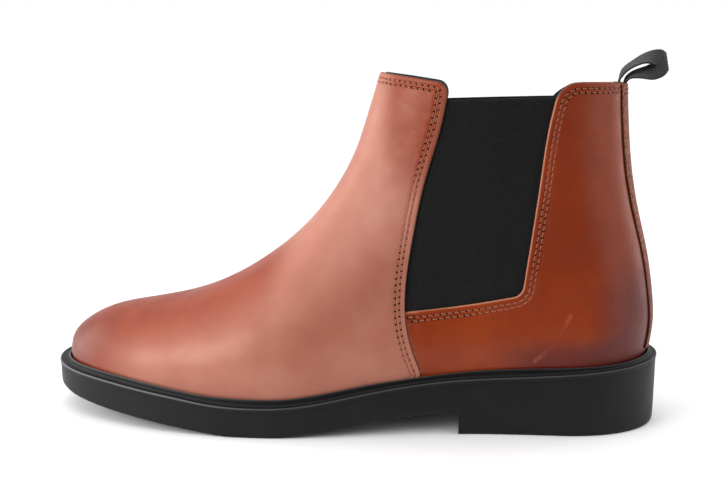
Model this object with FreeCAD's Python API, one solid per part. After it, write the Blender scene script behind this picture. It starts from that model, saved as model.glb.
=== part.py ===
import FreeCAD, Part
import math
import os

# Left chelsea boot, millimetres. Toe at -X, heel at +X, lateral side at -Y, ground at Z = 0.
# Every layer of the upper is an offset of one outer skin, which is drawn in side view
# (ridge line, back line, feather line) and given its width by a formula.

Vector = FreeCAD.Vector

# ---------------------------------------------------------------- driving dimensions

SHIFT = (3.6, -0.3, 0.0)            # moves the drawing frame to the middle of the whole boot

LEATHER = 1.3                       # thickness of vamp and quarters
GLUE = 0.15                         # glue line between two layers of the upper
MIDDLE = 1.0                        # elastic, toe puff, counter and interlining
LINING = 0.7
GRIP = 0.8                          # suede heel grip inside the lining
STRIP = 1.1                         # back strip that covers the heel seam
STRIP_HALF_WIDTH = 9.2
UNDERLAY = 9.0                      # elastic hidden under the leather edges
LINING_RISE = 0.8                   # lining stands this far above the leather's top edge
SEAM_GAP = 0.15                     # between two leather edges that meet

WELT = 3.2                          # thickness of the welt at the rim
BEAD = 2.0                          # width of the storm bead against the leather
TOE_MARGIN = 6.0                    # how far the sole stands out from the upper
SIDE_MARGIN = 5.2
HEEL_MARGIN = 5.0
HEEL_BREAST = 51.0                  # x of the front face of the heel
INSOLE_INSET = 4.8                  # from the feather outline to the insole board's edge
BOARD = 2.0                         # insole board
SOCK = 3.0                          # sock liner
FILLER = 2.0
FILLER_INSET = 14.0
SHANK = (84.0, 12.0, 1.4)           # length, width, thickness of the steel shank
SHANK_START = -22.0
SHANK_DEPTH = 0.2                   # from the joint down to the shank's upper face
CLEAR = 0.1                         # between a part of the bottom and its bed
CORE_FLOOR = 7.0                    # rubber left under the heel core
CORE_INSET = 11.0
CORE_START = 68.0
SEAT_BOARD = 2.2
NAIL_RADIUS = 0.9
NAIL_LENGTH = 14.0
NAILS = [(84, -9), (84, 9), (104, -11), (104, 11), (124, 0)]
RIVET_RADIUS = 1.6
RIVET_INSET = 9.0                   # from the shank's ends
PAD = 1.5                           # foam heel pad
PAD_START = 72.0
PAD_INSET = 5.0                     # from the insole board's edge

RIBBON = 0.9                        # thickness of the pull loop's webbing
RIBBON_WIDTH = 13.0
LOOP_PATH = [(125.9, 168.5), (127.2, 172.3), (130.5, 176), (135.5, 178.9), (141, 180.3),
             (145.2, 179), (146.7, 175), (145, 171.2), (140, 170), (134, 170.6),
             (129.8, 170.6), (127.2, 168.6)]
ANCHOR = (149.0, 166.9)             # heights between which the loop's tails are sewn in

# (x, z) of the front ridge from toe tip to above the top line, and the z of the ring's other end
RIDGE = [(-150, 30.5), (-148.2, 37), (-140, 44), (-123, 50.8), (-94, 56.2), (-66, 66.2),
         (-40, 83), (-19, 103.3), (-4, 126.8), (3.8, 148), (10, 168), (14.5, 184)]
BACK_HEIGHTS = [36, 43, 51, 59, 67, 76, 88, 104, 124, 145, 166, 184]
BACK = [(30, 143), (37, 144.1), (50, 145.5), (66, 144.3), (84, 141.2), (104, 136.2),
        (124, 132.2), (144, 129.9), (164, 128.5), (184, 127.5)]
FEATHER = [(-153, 31), (-135, 26.8), (-120, 22.8), (-100, 20.1), (-73, 18.6), (-48, 19), (-20, 21),
           (5, 25), (30, 28.5), (57, 31.5), (91, 33.4), (120, 34.6), (135, 35.4), (148, 36.8)]
RIM = [(-158, 25), (-142, 21.3), (-125, 19.5), (-95, 16.5), (-55, 14.9), (-25, 15.7), (0, 19.8),
       (25, 24.7), (51, 27.7), (80, 29.5), (115, 31.8), (152, 34)]
BOTTOM = [(-160, 12.8), (-137, 8.9), (-120, 6.7), (-100, 4.4), (-80, 2.2), (-60, 0)]
WAIST = [(-34, 0), (-20, 1.8), (0, 5.2), (20, 8.4), (40, 10.9), (51, 12)]
LATERAL = [(-147, 31), (-125, 37), (-105, 42.5), (-75, 47.5), (-45, 48.5), (-10, 44), (25, 37),
           (60, 32), (100, 31), (150, 31)]
MEDIAL = [(-147, 31), (-125, 36), (-105, 41), (-75, 43.5), (-45, 41.5), (-10, 35.5), (25, 30),
          (60, 29), (100, 30.5), (150, 31)]
AXIS = [(-150, 6), (-100, 4.5), (-50, 2.5), (0, 1), (60, 0), (150, 0)]
LEG = [(30, 33), (80, 32.5), (120, 29.5), (150, 28.5), (195, 30), (215, 31)]
FRONT_RADIUS = 62.0                 # how deep the rounding of the front reaches
TOE_RADIUS = 38.0                   # the same at the toe
BACK_RADIUS = 46.0
ROUNDING = 2.3
BULGE = 2.2                         # fullness of the forefoot above the feather

# side-view outlines of the panels, (x, z)
VAMP_EDGE = [(43.8, 161.5), (40.9, 147), (33.8, 121.5), (28.4, 93.7), (25.3, 65.5),
             (26.2, 52), (30.8, 35.5), (36, 22)]
VAMP_TOP = [(-30, 178), (37, 167.9)]
QUARTER_EDGE = [(93.1, 157.5), (91.2, 149), (87.5, 122.4), (84.9, 102), (81.6, 76.5)]
GUSSET_FLOOR = [(76, 66.5), (60, 63.6), (25, 59.3)]
QUARTER_TOP = [(104, 167.3), (150, 167)]
GUSSET_TOP = (158.8, 160.4)         # at its front and rear edge
TOP_SLOPE = 0.042                   # the top line falls this much towards the medial side
LATERAL_TOP = -29.0                 # y where the outlines above hold
CORNER = {"vamp": 6.0, "quarter head": 9.0, "quarter foot": 6.0}
VAMP_TIP = (44.6, 166.6)
QUARTER_HEAD_X = 95.2
QUARTER_FOOT = (80.3, 67.4)

# side-view outlines of the stiffeners
PUFF_REAR = [(-84, -5), (-86, 30), (-93, 50), (-101, 75)]
INTERLINING_FRONT = [(10, 36), (-60, 30), (-76, 50), (-84, 80), (-84, 160), (-10, 171), (33, 165),
                     (33.5, 161)]
INTERLINING_REAR = [(33.5, 161), (30, 147), (23.5, 121.5), (18, 93.7), (15, 65.5)]
COUNTER_FRONT = [(63, -5), (64, 34), (82, 50), (104, 62)]
COUNTER_TOP = [(104, 62), (116, 78), (131, 94), (200, 97)]
GRIP_FRONT = [(98, 44), (96, 70), (100, 105), (112, 132)]
GRIP_REAR = [(200, 140), (200, 44)]


# ---------------------------------------------------------------- curves

def natural_spline(points):
    """Smooth curve value(t) through points (t, value), straight beyond its ends."""
    knots = [p[0] for p in points]
    values = [p[1] for p in points]
    last = len(points) - 1
    steps = [knots[i + 1] - knots[i] for i in range(last)]
    diagonal = [1.0] * (last + 1)
    upper = [0.0] * (last + 1)
    right = [0.0] * (last + 1)
    for i in range(1, last):
        slope_in = (values[i] - values[i - 1]) / steps[i - 1]
        slope_out = (values[i + 1] - values[i]) / steps[i]
        factor = steps[i - 1] / diagonal[i - 1]
        diagonal[i] = 2 * (steps[i - 1] + steps[i]) - factor * upper[i - 1]
        right[i] = 6 * (slope_out - slope_in) - factor * right[i - 1]
        upper[i] = steps[i]
    bend = [0.0] * (last + 1)
    for i in range(last - 1, 0, -1):
        bend[i] = (right[i] - upper[i] * bend[i + 1]) / diagonal[i]

    def value(t):
        if t <= knots[0]:
            slope = (values[1] - values[0]) / steps[0] - steps[0] * bend[1] / 6
            return values[0] + slope * (t - knots[0])
        if t >= knots[-1]:
            slope = (values[-1] - values[-2]) / steps[-1] + steps[-1] * bend[-2] / 6
            return values[-1] + slope * (t - knots[-1])
        i = 0
        while knots[i + 1] < t:
            i += 1
        before, after, step = t - knots[i], knots[i + 1] - t, steps[i]
        cubic = (bend[i] * after ** 3 + bend[i + 1] * before ** 3) / (6 * step)
        start = (values[i] / step - bend[i] * step / 6) * after
        end = (values[i + 1] / step - bend[i + 1] * step / 6) * before
        return cubic + start + end

    return value


def smooth_step(t):
    t = min(1.0, max(0.0, t))
    return t * t * t * (t * (6 * t - 15) + 10)


ridge_x = natural_spline(list(enumerate([p[0] for p in RIDGE])))
ridge_z = natural_spline(list(enumerate([p[1] for p in RIDGE])))
back_z = natural_spline(list(enumerate(BACK_HEIGHTS)))
back_x = natural_spline(BACK)
feather = natural_spline(FEATHER)
rim = natural_spline(RIM)
lateral_width = natural_spline(LATERAL)
medial_width = natural_spline(MEDIAL)
axis_y = natural_spline(AXIS)
leg_width = natural_spline(LEG)
TOP_RING = len(RIDGE) - 1
REACH = 90.0                        # half depth of the side-view blocks
STEP = 0.02                         # small change of ring or angle, for directions
SAMPLES = 2000
RIDGE_LINE = [(ridge_x(TOP_RING * i / SAMPLES), ridge_z(TOP_RING * i / SAMPLES))
              for i in range(SAMPLES + 1)]


def look_up(value, key, other):
    """Reads the ridge line at a given x (key 0) or z (key 1)."""
    low, high = 0, SAMPLES
    while high - low > 1:
        middle = (low + high) // 2
        if RIDGE_LINE[middle][key] <= value:
            low = middle
        else:
            high = middle
    a, b = RIDGE_LINE[low], RIDGE_LINE[high]
    return a[other] + (value - a[key]) * (b[other] - a[other]) / (b[key] - a[key])


def joint(x):
    """Height of the flat joint between welt and outsole, on which the upper stands."""
    return rim(x) - WELT


def rounding(fraction):
    fraction = min(1.0, max(0.0, fraction))
    return math.sqrt(max(0.0, 1 - (1 - fraction) ** ROUNDING))


def half_width(x, z, side):
    """Half the boot's width at a point of the side view; side is -1 lateral, 1 medial."""
    foot = (lateral_width if side < 0 else medial_width)(x)
    rise = z - feather(x)
    foot += BULGE * math.exp(-((rise - 16) / 16.0) ** 2) * smooth_step((x + 120) / 80)
    blend = smooth_step((rise - 5) / 95) * smooth_step((x + 75) / 95)
    width = foot * (1 - blend) + leg_width(z) * blend
    top = look_up(x, 0, 1)
    down = max(0.0, top - z)
    behind = max(0.0, x - look_up(z, 1, 0))
    inward = down * behind / math.hypot(down, behind) if down > 0 and behind > 0 else 0.0
    height = max(TOE_RADIUS, top - feather(x))
    radius = 1 / math.hypot(1 / height, 1 / FRONT_RADIUS)
    return width * rounding(inward / radius) * rounding((back_x(z) - x) / BACK_RADIUS)


def ring_point(ring, angle):
    """Point of the skin: ring 0 is the feather line; angle 0 the ridge, pi the back seam,
    negative angles on the lateral side. Ring -1 is the upper's edge down on the outsole."""
    if abs(angle) > math.pi:
        angle -= math.copysign(2 * math.pi, angle)
    side = -1 if angle < 0 else 1
    share = (1 - math.cos(angle)) / 2
    level = max(0.0, ring)
    x0, z0, z1 = ridge_x(level), ridge_z(level), back_z(level)
    x1 = back_x(z1)
    x = x0 + (x1 - x0) * share
    sag = max(0.0, 1 - level / 5.5) ** 1.6
    chord = feather(x0) + (feather(x1) - feather(x0)) * share
    z = z0 + (z1 - z0) * share + sag * (feather(x) - chord)
    y = axis_y(x) + side * half_width(x, z, side)
    if ring < 0:
        drop = -ring
        shrink = 1 - 0.9 * drop / 100
        foot = joint(x) + GLUE
        x, y, z = x * shrink, axis_y(x) + (y - axis_y(x)) * (1 - 0.02 * drop), z + drop * (foot - z)
    return Vector(x, y, z)


def skin(ring, angle, offset):
    """The skin moved out along its normal by offset."""
    along = ring_point(ring + STEP, angle) - ring_point(ring - STEP, angle)
    around = ring_point(ring, angle + STEP) - ring_point(ring, angle - STEP)
    normal = along.cross(around)
    normal.normalize()
    return ring_point(ring, angle) + normal * offset


# ---------------------------------------------------------------- solids of the upper

def spread(start, end, count):
    return [start + (end - start) * i / (count - 1) for i in range(count)]


def shell_between(grid, outside, thickness):
    """Closed solid between the skin at two offsets, over a grid of (ring, angle) places."""
    borders = [[], [], [], []]
    faces = []
    for offset in (outside, outside - thickness):
        sheet = Part.BSplineSurface()
        sheet.interpolate([[skin(ring, angle, offset) for ring, angle in row] for row in grid])
        faces.append(sheet.toShape())
        u0, u1, v0, v1 = sheet.bounds()
        curves = [sheet.uIso(u0), sheet.uIso(u1), sheet.vIso(v0), sheet.vIso(v1)]
        for border, curve in zip(borders, curves):
            border.append(curve.toShape())
    faces += [Part.makeRuledSurface(outer, inner) for outer, inner in borders]
    shell = Part.makeShell(faces)
    shell.sewShape()
    solid = Part.makeSolid(Part.makeShell(shell.Faces))
    if solid.Volume < 0:
        solid.reverse()
    return solid


def layer(outside, thickness, rings, angles):
    grid = [[(ring, angle) for angle in angles] for ring in rings]
    return shell_between(grid, outside, thickness)


def edge_through(points, plane):
    """Line through two points, or smooth curve through more, in the plane x-z or x-y."""
    if plane == "side":
        spots = [Vector(x, -REACH, z) for x, z in points]
    else:
        spots = [Vector(x, y, -REACH) for x, y in points]
    if len(spots) == 2:
        return Part.LineSegment(*spots).toShape()
    curve = Part.BSplineCurve()
    curve.interpolate(spots)
    return curve.toShape()


def side_prism(*runs, slope=0.0):
    """Block right across the boot; its side-view outline is the runs joined end to start.
    With a slope the outline falls towards the medial side."""
    edges = []
    for run, following in zip(runs, runs[1:] + runs[:1]):
        if len(run) > 1:
            edges.append(edge_through(run, "side"))
        if run[-1] != following[0]:
            edges.append(edge_through([run[-1], following[0]], "side"))
    block = Part.Face(Part.Wire(edges)).extrude(Vector(0, 2 * REACH, -2 * REACH * slope))
    block.translate(Vector(0, 0, (REACH + LATERAL_TOP) * slope))
    return block


def corner(before, tip, after, radius):
    """Points of the arc that rounds the corner at tip."""
    def unit(target):
        length = math.hypot(target[0] - tip[0], target[1] - tip[1])
        return (target[0] - tip[0]) / length, (target[1] - tip[1]) / length
    a, b = unit(before), unit(after)
    half = math.acos(max(-1, min(1, a[0] * b[0] + a[1] * b[1]))) / 2
    run = radius / math.tan(half)
    reach = radius / math.sin(half)
    middle = (a[0] + b[0], a[1] + b[1])
    size = math.hypot(*middle)
    centre = (tip[0] + middle[0] / size * reach, tip[1] + middle[1] / size * reach)
    start = math.atan2(tip[1] + a[1] * run - centre[1], tip[0] + a[0] * run - centre[0])
    end = math.atan2(tip[1] + b[1] * run - centre[1], tip[0] + b[0] * run - centre[0])
    turn = (end - start + math.pi) % (2 * math.pi) - math.pi
    angles = [start + turn * share for share in (0, 0.25, 0.5, 0.75, 1)]
    return [(centre[0] + radius * math.cos(angle), centre[1] + radius * math.sin(angle))
            for angle in angles]


def shifted(points, dx, dz=0.0):
    return [(x + dx, z + dz) for x, z in points]


def vamp_block(gap=0.0, rise=0.0):
    """Side-view block of the vamp; gap draws its rear edge forward, rise lifts its top."""
    edge = shifted(VAMP_EDGE, -gap)
    top = shifted(VAMP_TOP, 0, rise)
    tip = (VAMP_TIP[0] - gap, VAMP_TIP[1] + rise)
    round_tip = corner(top[0], tip, edge[1], CORNER["vamp"])
    return side_prism([top[0], round_tip[0]], round_tip, [round_tip[-1]] + edge[1:],
                      [(36 - gap, -5), (-200, -5)], [(-200, 178)], slope=TOP_SLOPE)


def quarter_block(gap=SEAM_GAP, rise=0.0):
    """Side-view block of a quarter: an L round the elastic's window."""
    top = shifted(QUARTER_TOP, 0, rise)
    head = corner(top[1], (QUARTER_HEAD_X, top[0][1]), QUARTER_EDGE[1], CORNER["quarter head"])
    foot = corner(QUARTER_EDGE[-1], QUARTER_FOOT, GUSSET_FLOOR[1], CORNER["quarter foot"])
    floor = [foot[-1]] + GUSSET_FLOOR[1:]
    seam = shifted(VAMP_EDGE[4:], gap)
    floor[-1] = (seam[0][0], floor[-1][1])
    seam[0] = floor[-1]
    return side_prism(head, [head[-1]] + QUARTER_EDGE[1:-1] + [foot[0]], foot, floor, seam,
                      [(36 + gap, -5), (200, -5)], [(200, top[0][1])], slope=TOP_SLOPE)


def gusset_block():
    """Side-view block of the elastic with its underlay behind the leather edges."""
    front = shifted([(43.5, GUSSET_TOP[0])] + VAMP_EDGE[1:5], -UNDERLAY)
    rear = shifted([(93.4, GUSSET_TOP[1])] + QUARTER_EDGE[1:], UNDERLAY)
    return side_prism(front, [(front[-1][0], 59.3 - UNDERLAY), (rear[-1][0], 68.0 - UNDERLAY)],
                      rear[::-1], slope=TOP_SLOPE)


def single(shape):
    """The largest solid of a boolean result."""
    return max(shape.Solids, key=lambda solid: solid.Volume)


def upper_panels():
    """Leather, elastic and lining panels."""
    rings = [-1, -0.5] + spread(0, TOP_RING, 23)
    front = spread(-2.15, 2.15, 41)
    side = {"lateral": -1, "medial": 1}
    back_gap = 0.004
    parts = {}
    depth_middle = -LEATHER - GLUE
    depth_lining = depth_middle - MIDDLE - GLUE
    parts["vamp"] = single(layer(0, LEATHER, rings, front).common(vamp_block()))
    parts["vamp_lining"] = single(layer(depth_lining, LINING, rings, front)
                                  .common(vamp_block(gap=0.5, rise=LINING_RISE)))
    for name, sign in side.items():
        rear = [sign * a for a in spread(0.85, math.pi - back_gap, 27)]
        rear = rear[::-1] if sign < 0 else rear
        quarter = layer(0, LEATHER, rings, rear)
        parts["quarter_" + name] = single(quarter.common(quarter_block()))
        lining = layer(depth_lining, LINING, rings, rear)
        lining_block = quarter_block(gap=0.5, rise=LINING_RISE)
        parts["quarter_lining_" + name] = single(lining.common(lining_block))
        window = [sign * a for a in spread(0.6, 2.75, 27)]
        window = window[::-1] if sign < 0 else window
        elastic = layer(depth_middle, MIDDLE, spread(3, TOP_RING, 17), window)
        parts["gusset_" + name] = single(elastic.common(gusset_block()))
    return parts


def strip_angle(ring, width):
    """Angle from the back seam at which the skin is this far from the seam."""
    low, high = 0.0, 1.2
    seam = ring_point(ring, math.pi)
    while high - low > 1e-4:
        middle = (low + high) / 2
        if (ring_point(ring, math.pi - middle) - seam).Length < width:
            low = middle
        else:
            high = middle
    return low


def back_band(outside, thickness, rings, width):
    """Strip of even width down the back seam."""
    grid = []
    for ring in rings:
        reach = strip_angle(ring, width)
        grid.append([(ring, math.pi + reach * share) for share in spread(-1, 1, 11)])
    return shell_between(grid, outside, thickness)


def stiffeners():
    """Toe puff, heel counter, interlining, heel grip, back strip and loop anchor."""
    depth_middle = -LEATHER - GLUE
    depth_grip = depth_middle - MIDDLE - GLUE - LINING - GLUE
    rings = [-1, -0.5] + spread(0, TOP_RING, 23)
    front = spread(-2.0, 2.0, 41)
    rear = spread(math.pi - 1.6, math.pi + 1.6, 33)
    fabric = layer(depth_middle, MIDDLE, rings, front)
    board = layer(depth_middle, MIDDLE, rings, rear)
    suede = layer(depth_grip, GRIP, rings, rear)
    puff_block = side_prism([(-200, -5), PUFF_REAR[0]], PUFF_REAR, [(-200, 75)])
    straight_front = [[spot] for spot in INTERLINING_FRONT[:-1]]
    interlining_block = side_prism(*straight_front, INTERLINING_REAR)
    counter_block = side_prism([(200, -5), COUNTER_FRONT[0]], COUNTER_FRONT, COUNTER_TOP)
    grip_block = side_prism([GRIP_REAR[-1], GRIP_FRONT[0]], GRIP_FRONT, [GRIP_REAR[0]])
    anchor_block = side_prism([(60, ANCHOR[0]), (160, ANCHOR[0])], [(160, ANCHOR[1]), (60, ANCHOR[1])])
    strip_rings = spread(0.4, 9.99, 22)
    anchor_rings = spread(8.6, 10.4, 9)
    anchor = back_band(depth_middle, MIDDLE, anchor_rings, RIBBON_WIDTH / 2)
    return {
        "toe_puff": single(fabric.common(puff_block)),
        "vamp_interlining": single(fabric.common(interlining_block)),
        "heel_counter": single(board.common(counter_block)),
        "heel_grip": single(suede.common(grip_block)),
        "back_strip": back_band(STRIP + GLUE, STRIP, strip_rings, STRIP_HALF_WIDTH),
        "pull_loop_anchor": single(anchor.common(anchor_block)),
    }


def pull_loop():
    """Webbing loop: a band of even thickness along its side-view path."""
    sides = []
    for sign in (1, -1):
        row = []
        for i, (x, z) in enumerate(LOOP_PATH):
            before = LOOP_PATH[max(0, i - 1)]
            after = LOOP_PATH[min(len(LOOP_PATH) - 1, i + 1)]
            dx, dz = after[0] - before[0], after[1] - before[1]
            shift = sign * RIBBON / 2 / math.hypot(dx, dz)
            row.append((x - dz * shift, z + dx * shift))
        sides.append(row)
    outer, inner = sides
    edges = [edge_through(outer, "side"), edge_through([outer[-1], inner[-1]], "side"),
             edge_through(inner[::-1], "side"), edge_through([inner[0], outer[0]], "side")]
    band = Part.Face(Part.Wire(edges)).extrude(Vector(0, RIBBON_WIDTH, 0))
    band.translate(Vector(0, REACH - RIBBON_WIDTH / 2, 0))
    return band


# ---------------------------------------------------------------- solids of the bottom

def margin(x):
    """How far the sole stands out from the feather line."""
    along = (x - RIDGE[0][0]) / 291.0
    wide = TOE_MARGIN + (SIDE_MARGIN - TOE_MARGIN) * smooth_step(along / 0.2)
    return wide + (HEEL_MARGIN - SIDE_MARGIN) * smooth_step((along - 0.55) / 0.25)


def plan_prism(distance):
    """Upright block whose plan is the feather outline moved out by distance(x)."""
    count = 72
    points = []
    for i in range(count):
        angle = -math.pi + 2 * math.pi * i / count
        spot = ring_point(0, angle)
        along = ring_point(0, angle + STEP) - ring_point(0, angle - STEP)
        outward = Vector(-along.y, along.x, 0)
        outward.normalize()
        points.append(Vector(spot.x, spot.y, -10) + outward * distance(spot.x))
    curve = Part.BSplineCurve()
    curve.interpolate(points, PeriodicFlag=True)
    return Part.Face(Part.Wire([curve.toShape()])).extrude(Vector(0, 0, 90))


def inset_prism(inset):
    return plan_prism(lambda x: -inset)


def slab_profile(lower, upper, start, end):
    """Side-view block between two height functions."""
    count = 26
    xs = spread(start, end, count)
    return side_prism([(x, lower(x)) for x in xs], [(x, upper(x)) for x in xs[::-1]])


def raised(function, amount):
    return lambda x: function(x) + amount


def joint_slab(low, high, start=-165, end=165):
    """Slab between two heights over the joint of welt and outsole."""
    return slab_profile(raised(joint, low), raised(joint, high), start, end)


def post(x, y, bottom, top, radius):
    return Part.makeCylinder(radius, top - bottom, Vector(x, y, bottom))


def welt_and_outsole():
    """The welt with its storm bead, and the outsole with its heel, both uncut."""
    whole = plan_prism(margin)
    at_leather = plan_prism(lambda x: GLUE)
    bead_outside = plan_prism(lambda x: GLUE + BEAD)
    bead_slab = slab_profile(raised(rim, -0.5), raised(feather, -0.3), -165, 165)
    welt = whole.common(slab_profile(joint, rim, -165, 165)).cut(at_leather)
    welt = welt.fuse(bead_outside.common(bead_slab).cut(at_leather)).removeSplitter()
    top = [(x, joint(x)) for x in spread(-158, 165, 26)[::-1]]
    heel = [(HEEL_BREAST + 0.6, 0), (165, 0)]
    return welt, whole.common(side_prism(BOTTOM, WAIST, heel, top))


def steel_shank():
    """The shank strip and the bed cut for it in the outsole."""
    length, width, thick = SHANK
    under = -thick - SHANK_DEPTH
    strip = Part.makeBox(length, width, 90, Vector(SHANK_START, -width / 2, -20))
    around = 2 * CLEAR
    bed = Part.makeBox(length + 2 * around, width + 2 * around, 90,
                       Vector(SHANK_START - around, -width / 2 - around, -20))
    shank = strip.common(joint_slab(under, -SHANK_DEPTH, -60, 90))
    return shank, bed.common(joint_slab(under - CLEAR, 1, -60, 90))


def bottom_parts():
    """Welt, outsole with its heel, insole board, shank, filler, heel core and sock liner."""
    welt, outsole = welt_and_outsole()

    filler = inset_prism(FILLER_INSET).common(joint_slab(-FILLER, -CLEAR, -150, -30))
    filler_bed = joint_slab(-FILLER - CLEAR, 1, -150, -30 + 2 * CLEAR)
    outsole = outsole.cut(inset_prism(FILLER_INSET - 2 * CLEAR).common(filler_bed))

    shank, shank_bed = steel_shank()
    outsole = outsole.cut(shank_bed)

    core_plan = inset_prism(CORE_INSET)
    core_room = slab_profile(lambda x: CORE_FLOOR, raised(joint, 1), CORE_START - 2 * CLEAR, 165)
    heel_core = core_plan.common(slab_profile(lambda x: CORE_FLOOR + CLEAR,
                                              raised(joint, -SEAT_BOARD - 3 * CLEAR), CORE_START, 165))
    seat_board = core_plan.common(joint_slab(-SEAT_BOARD - CLEAR, -CLEAR, CORE_START, 165))
    outsole = outsole.cut(inset_prism(CORE_INSET - 2 * CLEAR).common(core_room))

    board_top = BOARD + CLEAR
    sock_bottom = board_top + CLEAR
    pad_bottom = sock_bottom + SOCK + CLEAR
    insole = inset_prism(INSOLE_INSET).common(joint_slab(CLEAR, board_top))
    sock = inset_prism(INSOLE_INSET + 0.4).common(joint_slab(sock_bottom, sock_bottom + SOCK))
    heel_pad = inset_prism(INSOLE_INSET + PAD_INSET).common(
        joint_slab(pad_bottom, pad_bottom + PAD, PAD_START, 165))

    nails = []
    for x, y in NAILS:
        top = joint(x) + BOARD
        nails.append(post(x, y, top - NAIL_LENGTH, top, NAIL_RADIUS))
        hole = post(x, y, top - NAIL_LENGTH - CLEAR, top + 2, NAIL_RADIUS + CLEAR)
        insole, seat_board, heel_core = insole.cut(hole), seat_board.cut(hole), heel_core.cut(hole)
    rivets = []
    for x in (SHANK_START + RIVET_INSET, SHANK_START + SHANK[0] - RIVET_INSET):
        bottom = joint(x) - SHANK[2]
        rivets.append(post(x, 0, bottom, joint(x) + BOARD, RIVET_RADIUS))
        hole = post(x, 0, bottom - 2, joint(x) + BOARD + 0.5, RIVET_RADIUS + CLEAR)
        insole, shank = insole.cut(hole), shank.cut(hole)
    return {
        "welt": welt, "outsole": outsole, "bottom_filler": filler, "shank": shank,
        "shank_rivets": Part.makeCompound(rivets), "heel_core": heel_core,
        "heel_seat_board": seat_board, "heel_nails": Part.makeCompound(nails),
        "insole_board": insole, "sock_liner": sock, "heel_pad": heel_pad,
    }


def main():
    parts = upper_panels()
    parts.update(stiffeners())
    parts["pull_loop"] = pull_loop()
    parts.update(bottom_parts())
    os.makedirs("parts", exist_ok=True)
    box = FreeCAD.BoundBox()
    for name, shape in parts.items():
        solids = shape.Solids
        solid = solids[0] if len(solids) == 1 else Part.makeCompound(solids)
        solid.translate(Vector(*SHIFT))
        exact = solid.optimalBoundingBox()
        box.add(exact)
        print(name, len(solids), solid.isValid(), round(solid.Volume), exact)
        solid.exportStep("parts/" + name + ".step")
    print("whole boot", box, "centre", box.Center)


main()
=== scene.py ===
import math

import bpy
import numpy as np
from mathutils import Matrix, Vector
from mathutils.geometry import delaunay_2d_cdt


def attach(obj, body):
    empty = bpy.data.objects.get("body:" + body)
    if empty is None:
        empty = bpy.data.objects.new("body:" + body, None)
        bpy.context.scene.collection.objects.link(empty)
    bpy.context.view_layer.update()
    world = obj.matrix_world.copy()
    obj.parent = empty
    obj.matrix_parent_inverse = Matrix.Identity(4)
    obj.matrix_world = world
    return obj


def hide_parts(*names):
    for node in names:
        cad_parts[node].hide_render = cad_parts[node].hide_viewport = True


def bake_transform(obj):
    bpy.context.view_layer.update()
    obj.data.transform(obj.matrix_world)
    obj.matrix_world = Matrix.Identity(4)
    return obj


# Left chelsea boot. Lengths in this file are millimetres in the drawing frame of the CAD
# source; mesh_object() moves them by SHIFT and turns them into metres.

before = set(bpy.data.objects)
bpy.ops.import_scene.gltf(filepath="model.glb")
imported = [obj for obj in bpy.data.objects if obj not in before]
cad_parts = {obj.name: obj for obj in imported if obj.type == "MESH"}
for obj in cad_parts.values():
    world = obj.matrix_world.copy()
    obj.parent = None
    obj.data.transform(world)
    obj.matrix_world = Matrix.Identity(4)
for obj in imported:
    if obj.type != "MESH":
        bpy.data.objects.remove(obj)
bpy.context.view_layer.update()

MM = 0.001
SHIFT = np.array((3.6, -0.3, 0.0))
LEATHER, GLUE, MIDDLE, LINING, GRIP = 1.3, 0.15, 1.0, 0.7, 0.8     # thickness of the sheets
DEPTH_MIDDLE = -LEATHER - GLUE
DEPTH_LINING = DEPTH_MIDDLE - MIDDLE - GLUE
DEPTH_GRIP = DEPTH_LINING - LINING - GLUE
ROWS = (2.8, 4.8)                   # the two rows of stitches, from the leather's edge
PITCH = 3.1                         # stitch length
ROW_SHIFT = (0.0, 0.31)             # where a row's first hole sits, in stitches
WELT = 3.2                          # from the rim down to the outsole
FAR = 99.0                          # stands for a distance where no edge is near
LASTED = -0.6                       # ring where the upper ends, below the feather line
SIDES = (("lateral", -1), ("medial", 1))

# ---------------------------------------------------------------- the boot's skin

# The tables are those of the CAD source, but for RIDGE at the toe, FEATHER over the forepart
# and RIM, which follow the side view more closely.

RIDGE = [(-151, 26.4), (-149, 36), (-140, 44), (-123, 50.8), (-94, 56.2), (-66, 66.2),
         (-40, 83), (-19, 103.3), (-4, 126.8), (3.8, 148), (10, 168), (14.5, 184)]
BACK_HEIGHTS = [36, 43, 51, 59, 67, 76, 88, 104, 124, 145, 166, 184]
BACK = [(30, 143), (37, 144.1), (50, 145.5), (66, 144.3), (84, 141.2), (104, 136.2),
        (124, 132.2), (144, 129.9), (164, 128.5), (184, 127.5)]
FEATHER = [(-153, 26.2), (-138, 25.8), (-122, 25), (-106, 23.6), (-89, 21.7), (-73, 19.8),
           (-50, 18.8), (-32, 19.1), (-18, 20.8), (5, 25), (30, 28.5), (57, 31.5), (91, 33.4),
           (120, 34.6), (135, 35.4), (148, 36.8)]
RIM = [(-158, 23.8), (-140, 22.9), (-122, 21.6), (-104, 19.8), (-86, 17.9), (-66, 15.5), (-50, 14.8),
       (-25, 15.8), (0, 20.1), (25, 24.4), (51, 27.2), (80, 28.9), (115, 31.5), (152, 34)]
BOTTOM = [(-160, 12.8), (-137, 8.9), (-120, 6.7), (-100, 4.4), (-80, 2.2), (-60, 0)]
WAIST = [(-34, 0), (-20, 1.8), (0, 5.2), (20, 8.4), (40, 10.9), (51, 12)]
LATERAL = [(-147, 31), (-125, 37), (-105, 42.5), (-75, 47.5), (-45, 48.5), (-10, 44), (25, 37),
           (60, 32), (100, 31), (150, 31)]
MEDIAL = [(-147, 31), (-125, 36), (-105, 41), (-75, 43.5), (-45, 41.5), (-10, 35.5), (25, 30),
          (60, 29), (100, 30.5), (150, 31)]
AXIS = [(-150, 6), (-100, 4.5), (-50, 2.5), (0, 1), (60, 0), (150, 0)]
LEG = [(30, 33), (80, 32.5), (120, 29.5), (150, 28.5), (195, 30), (215, 31)]
FRONT_RADIUS, TOE_RADIUS, BACK_RADIUS, ROUNDING, BULGE = 62.0, 38.0, 46.0, 2.3, 2.2
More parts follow.
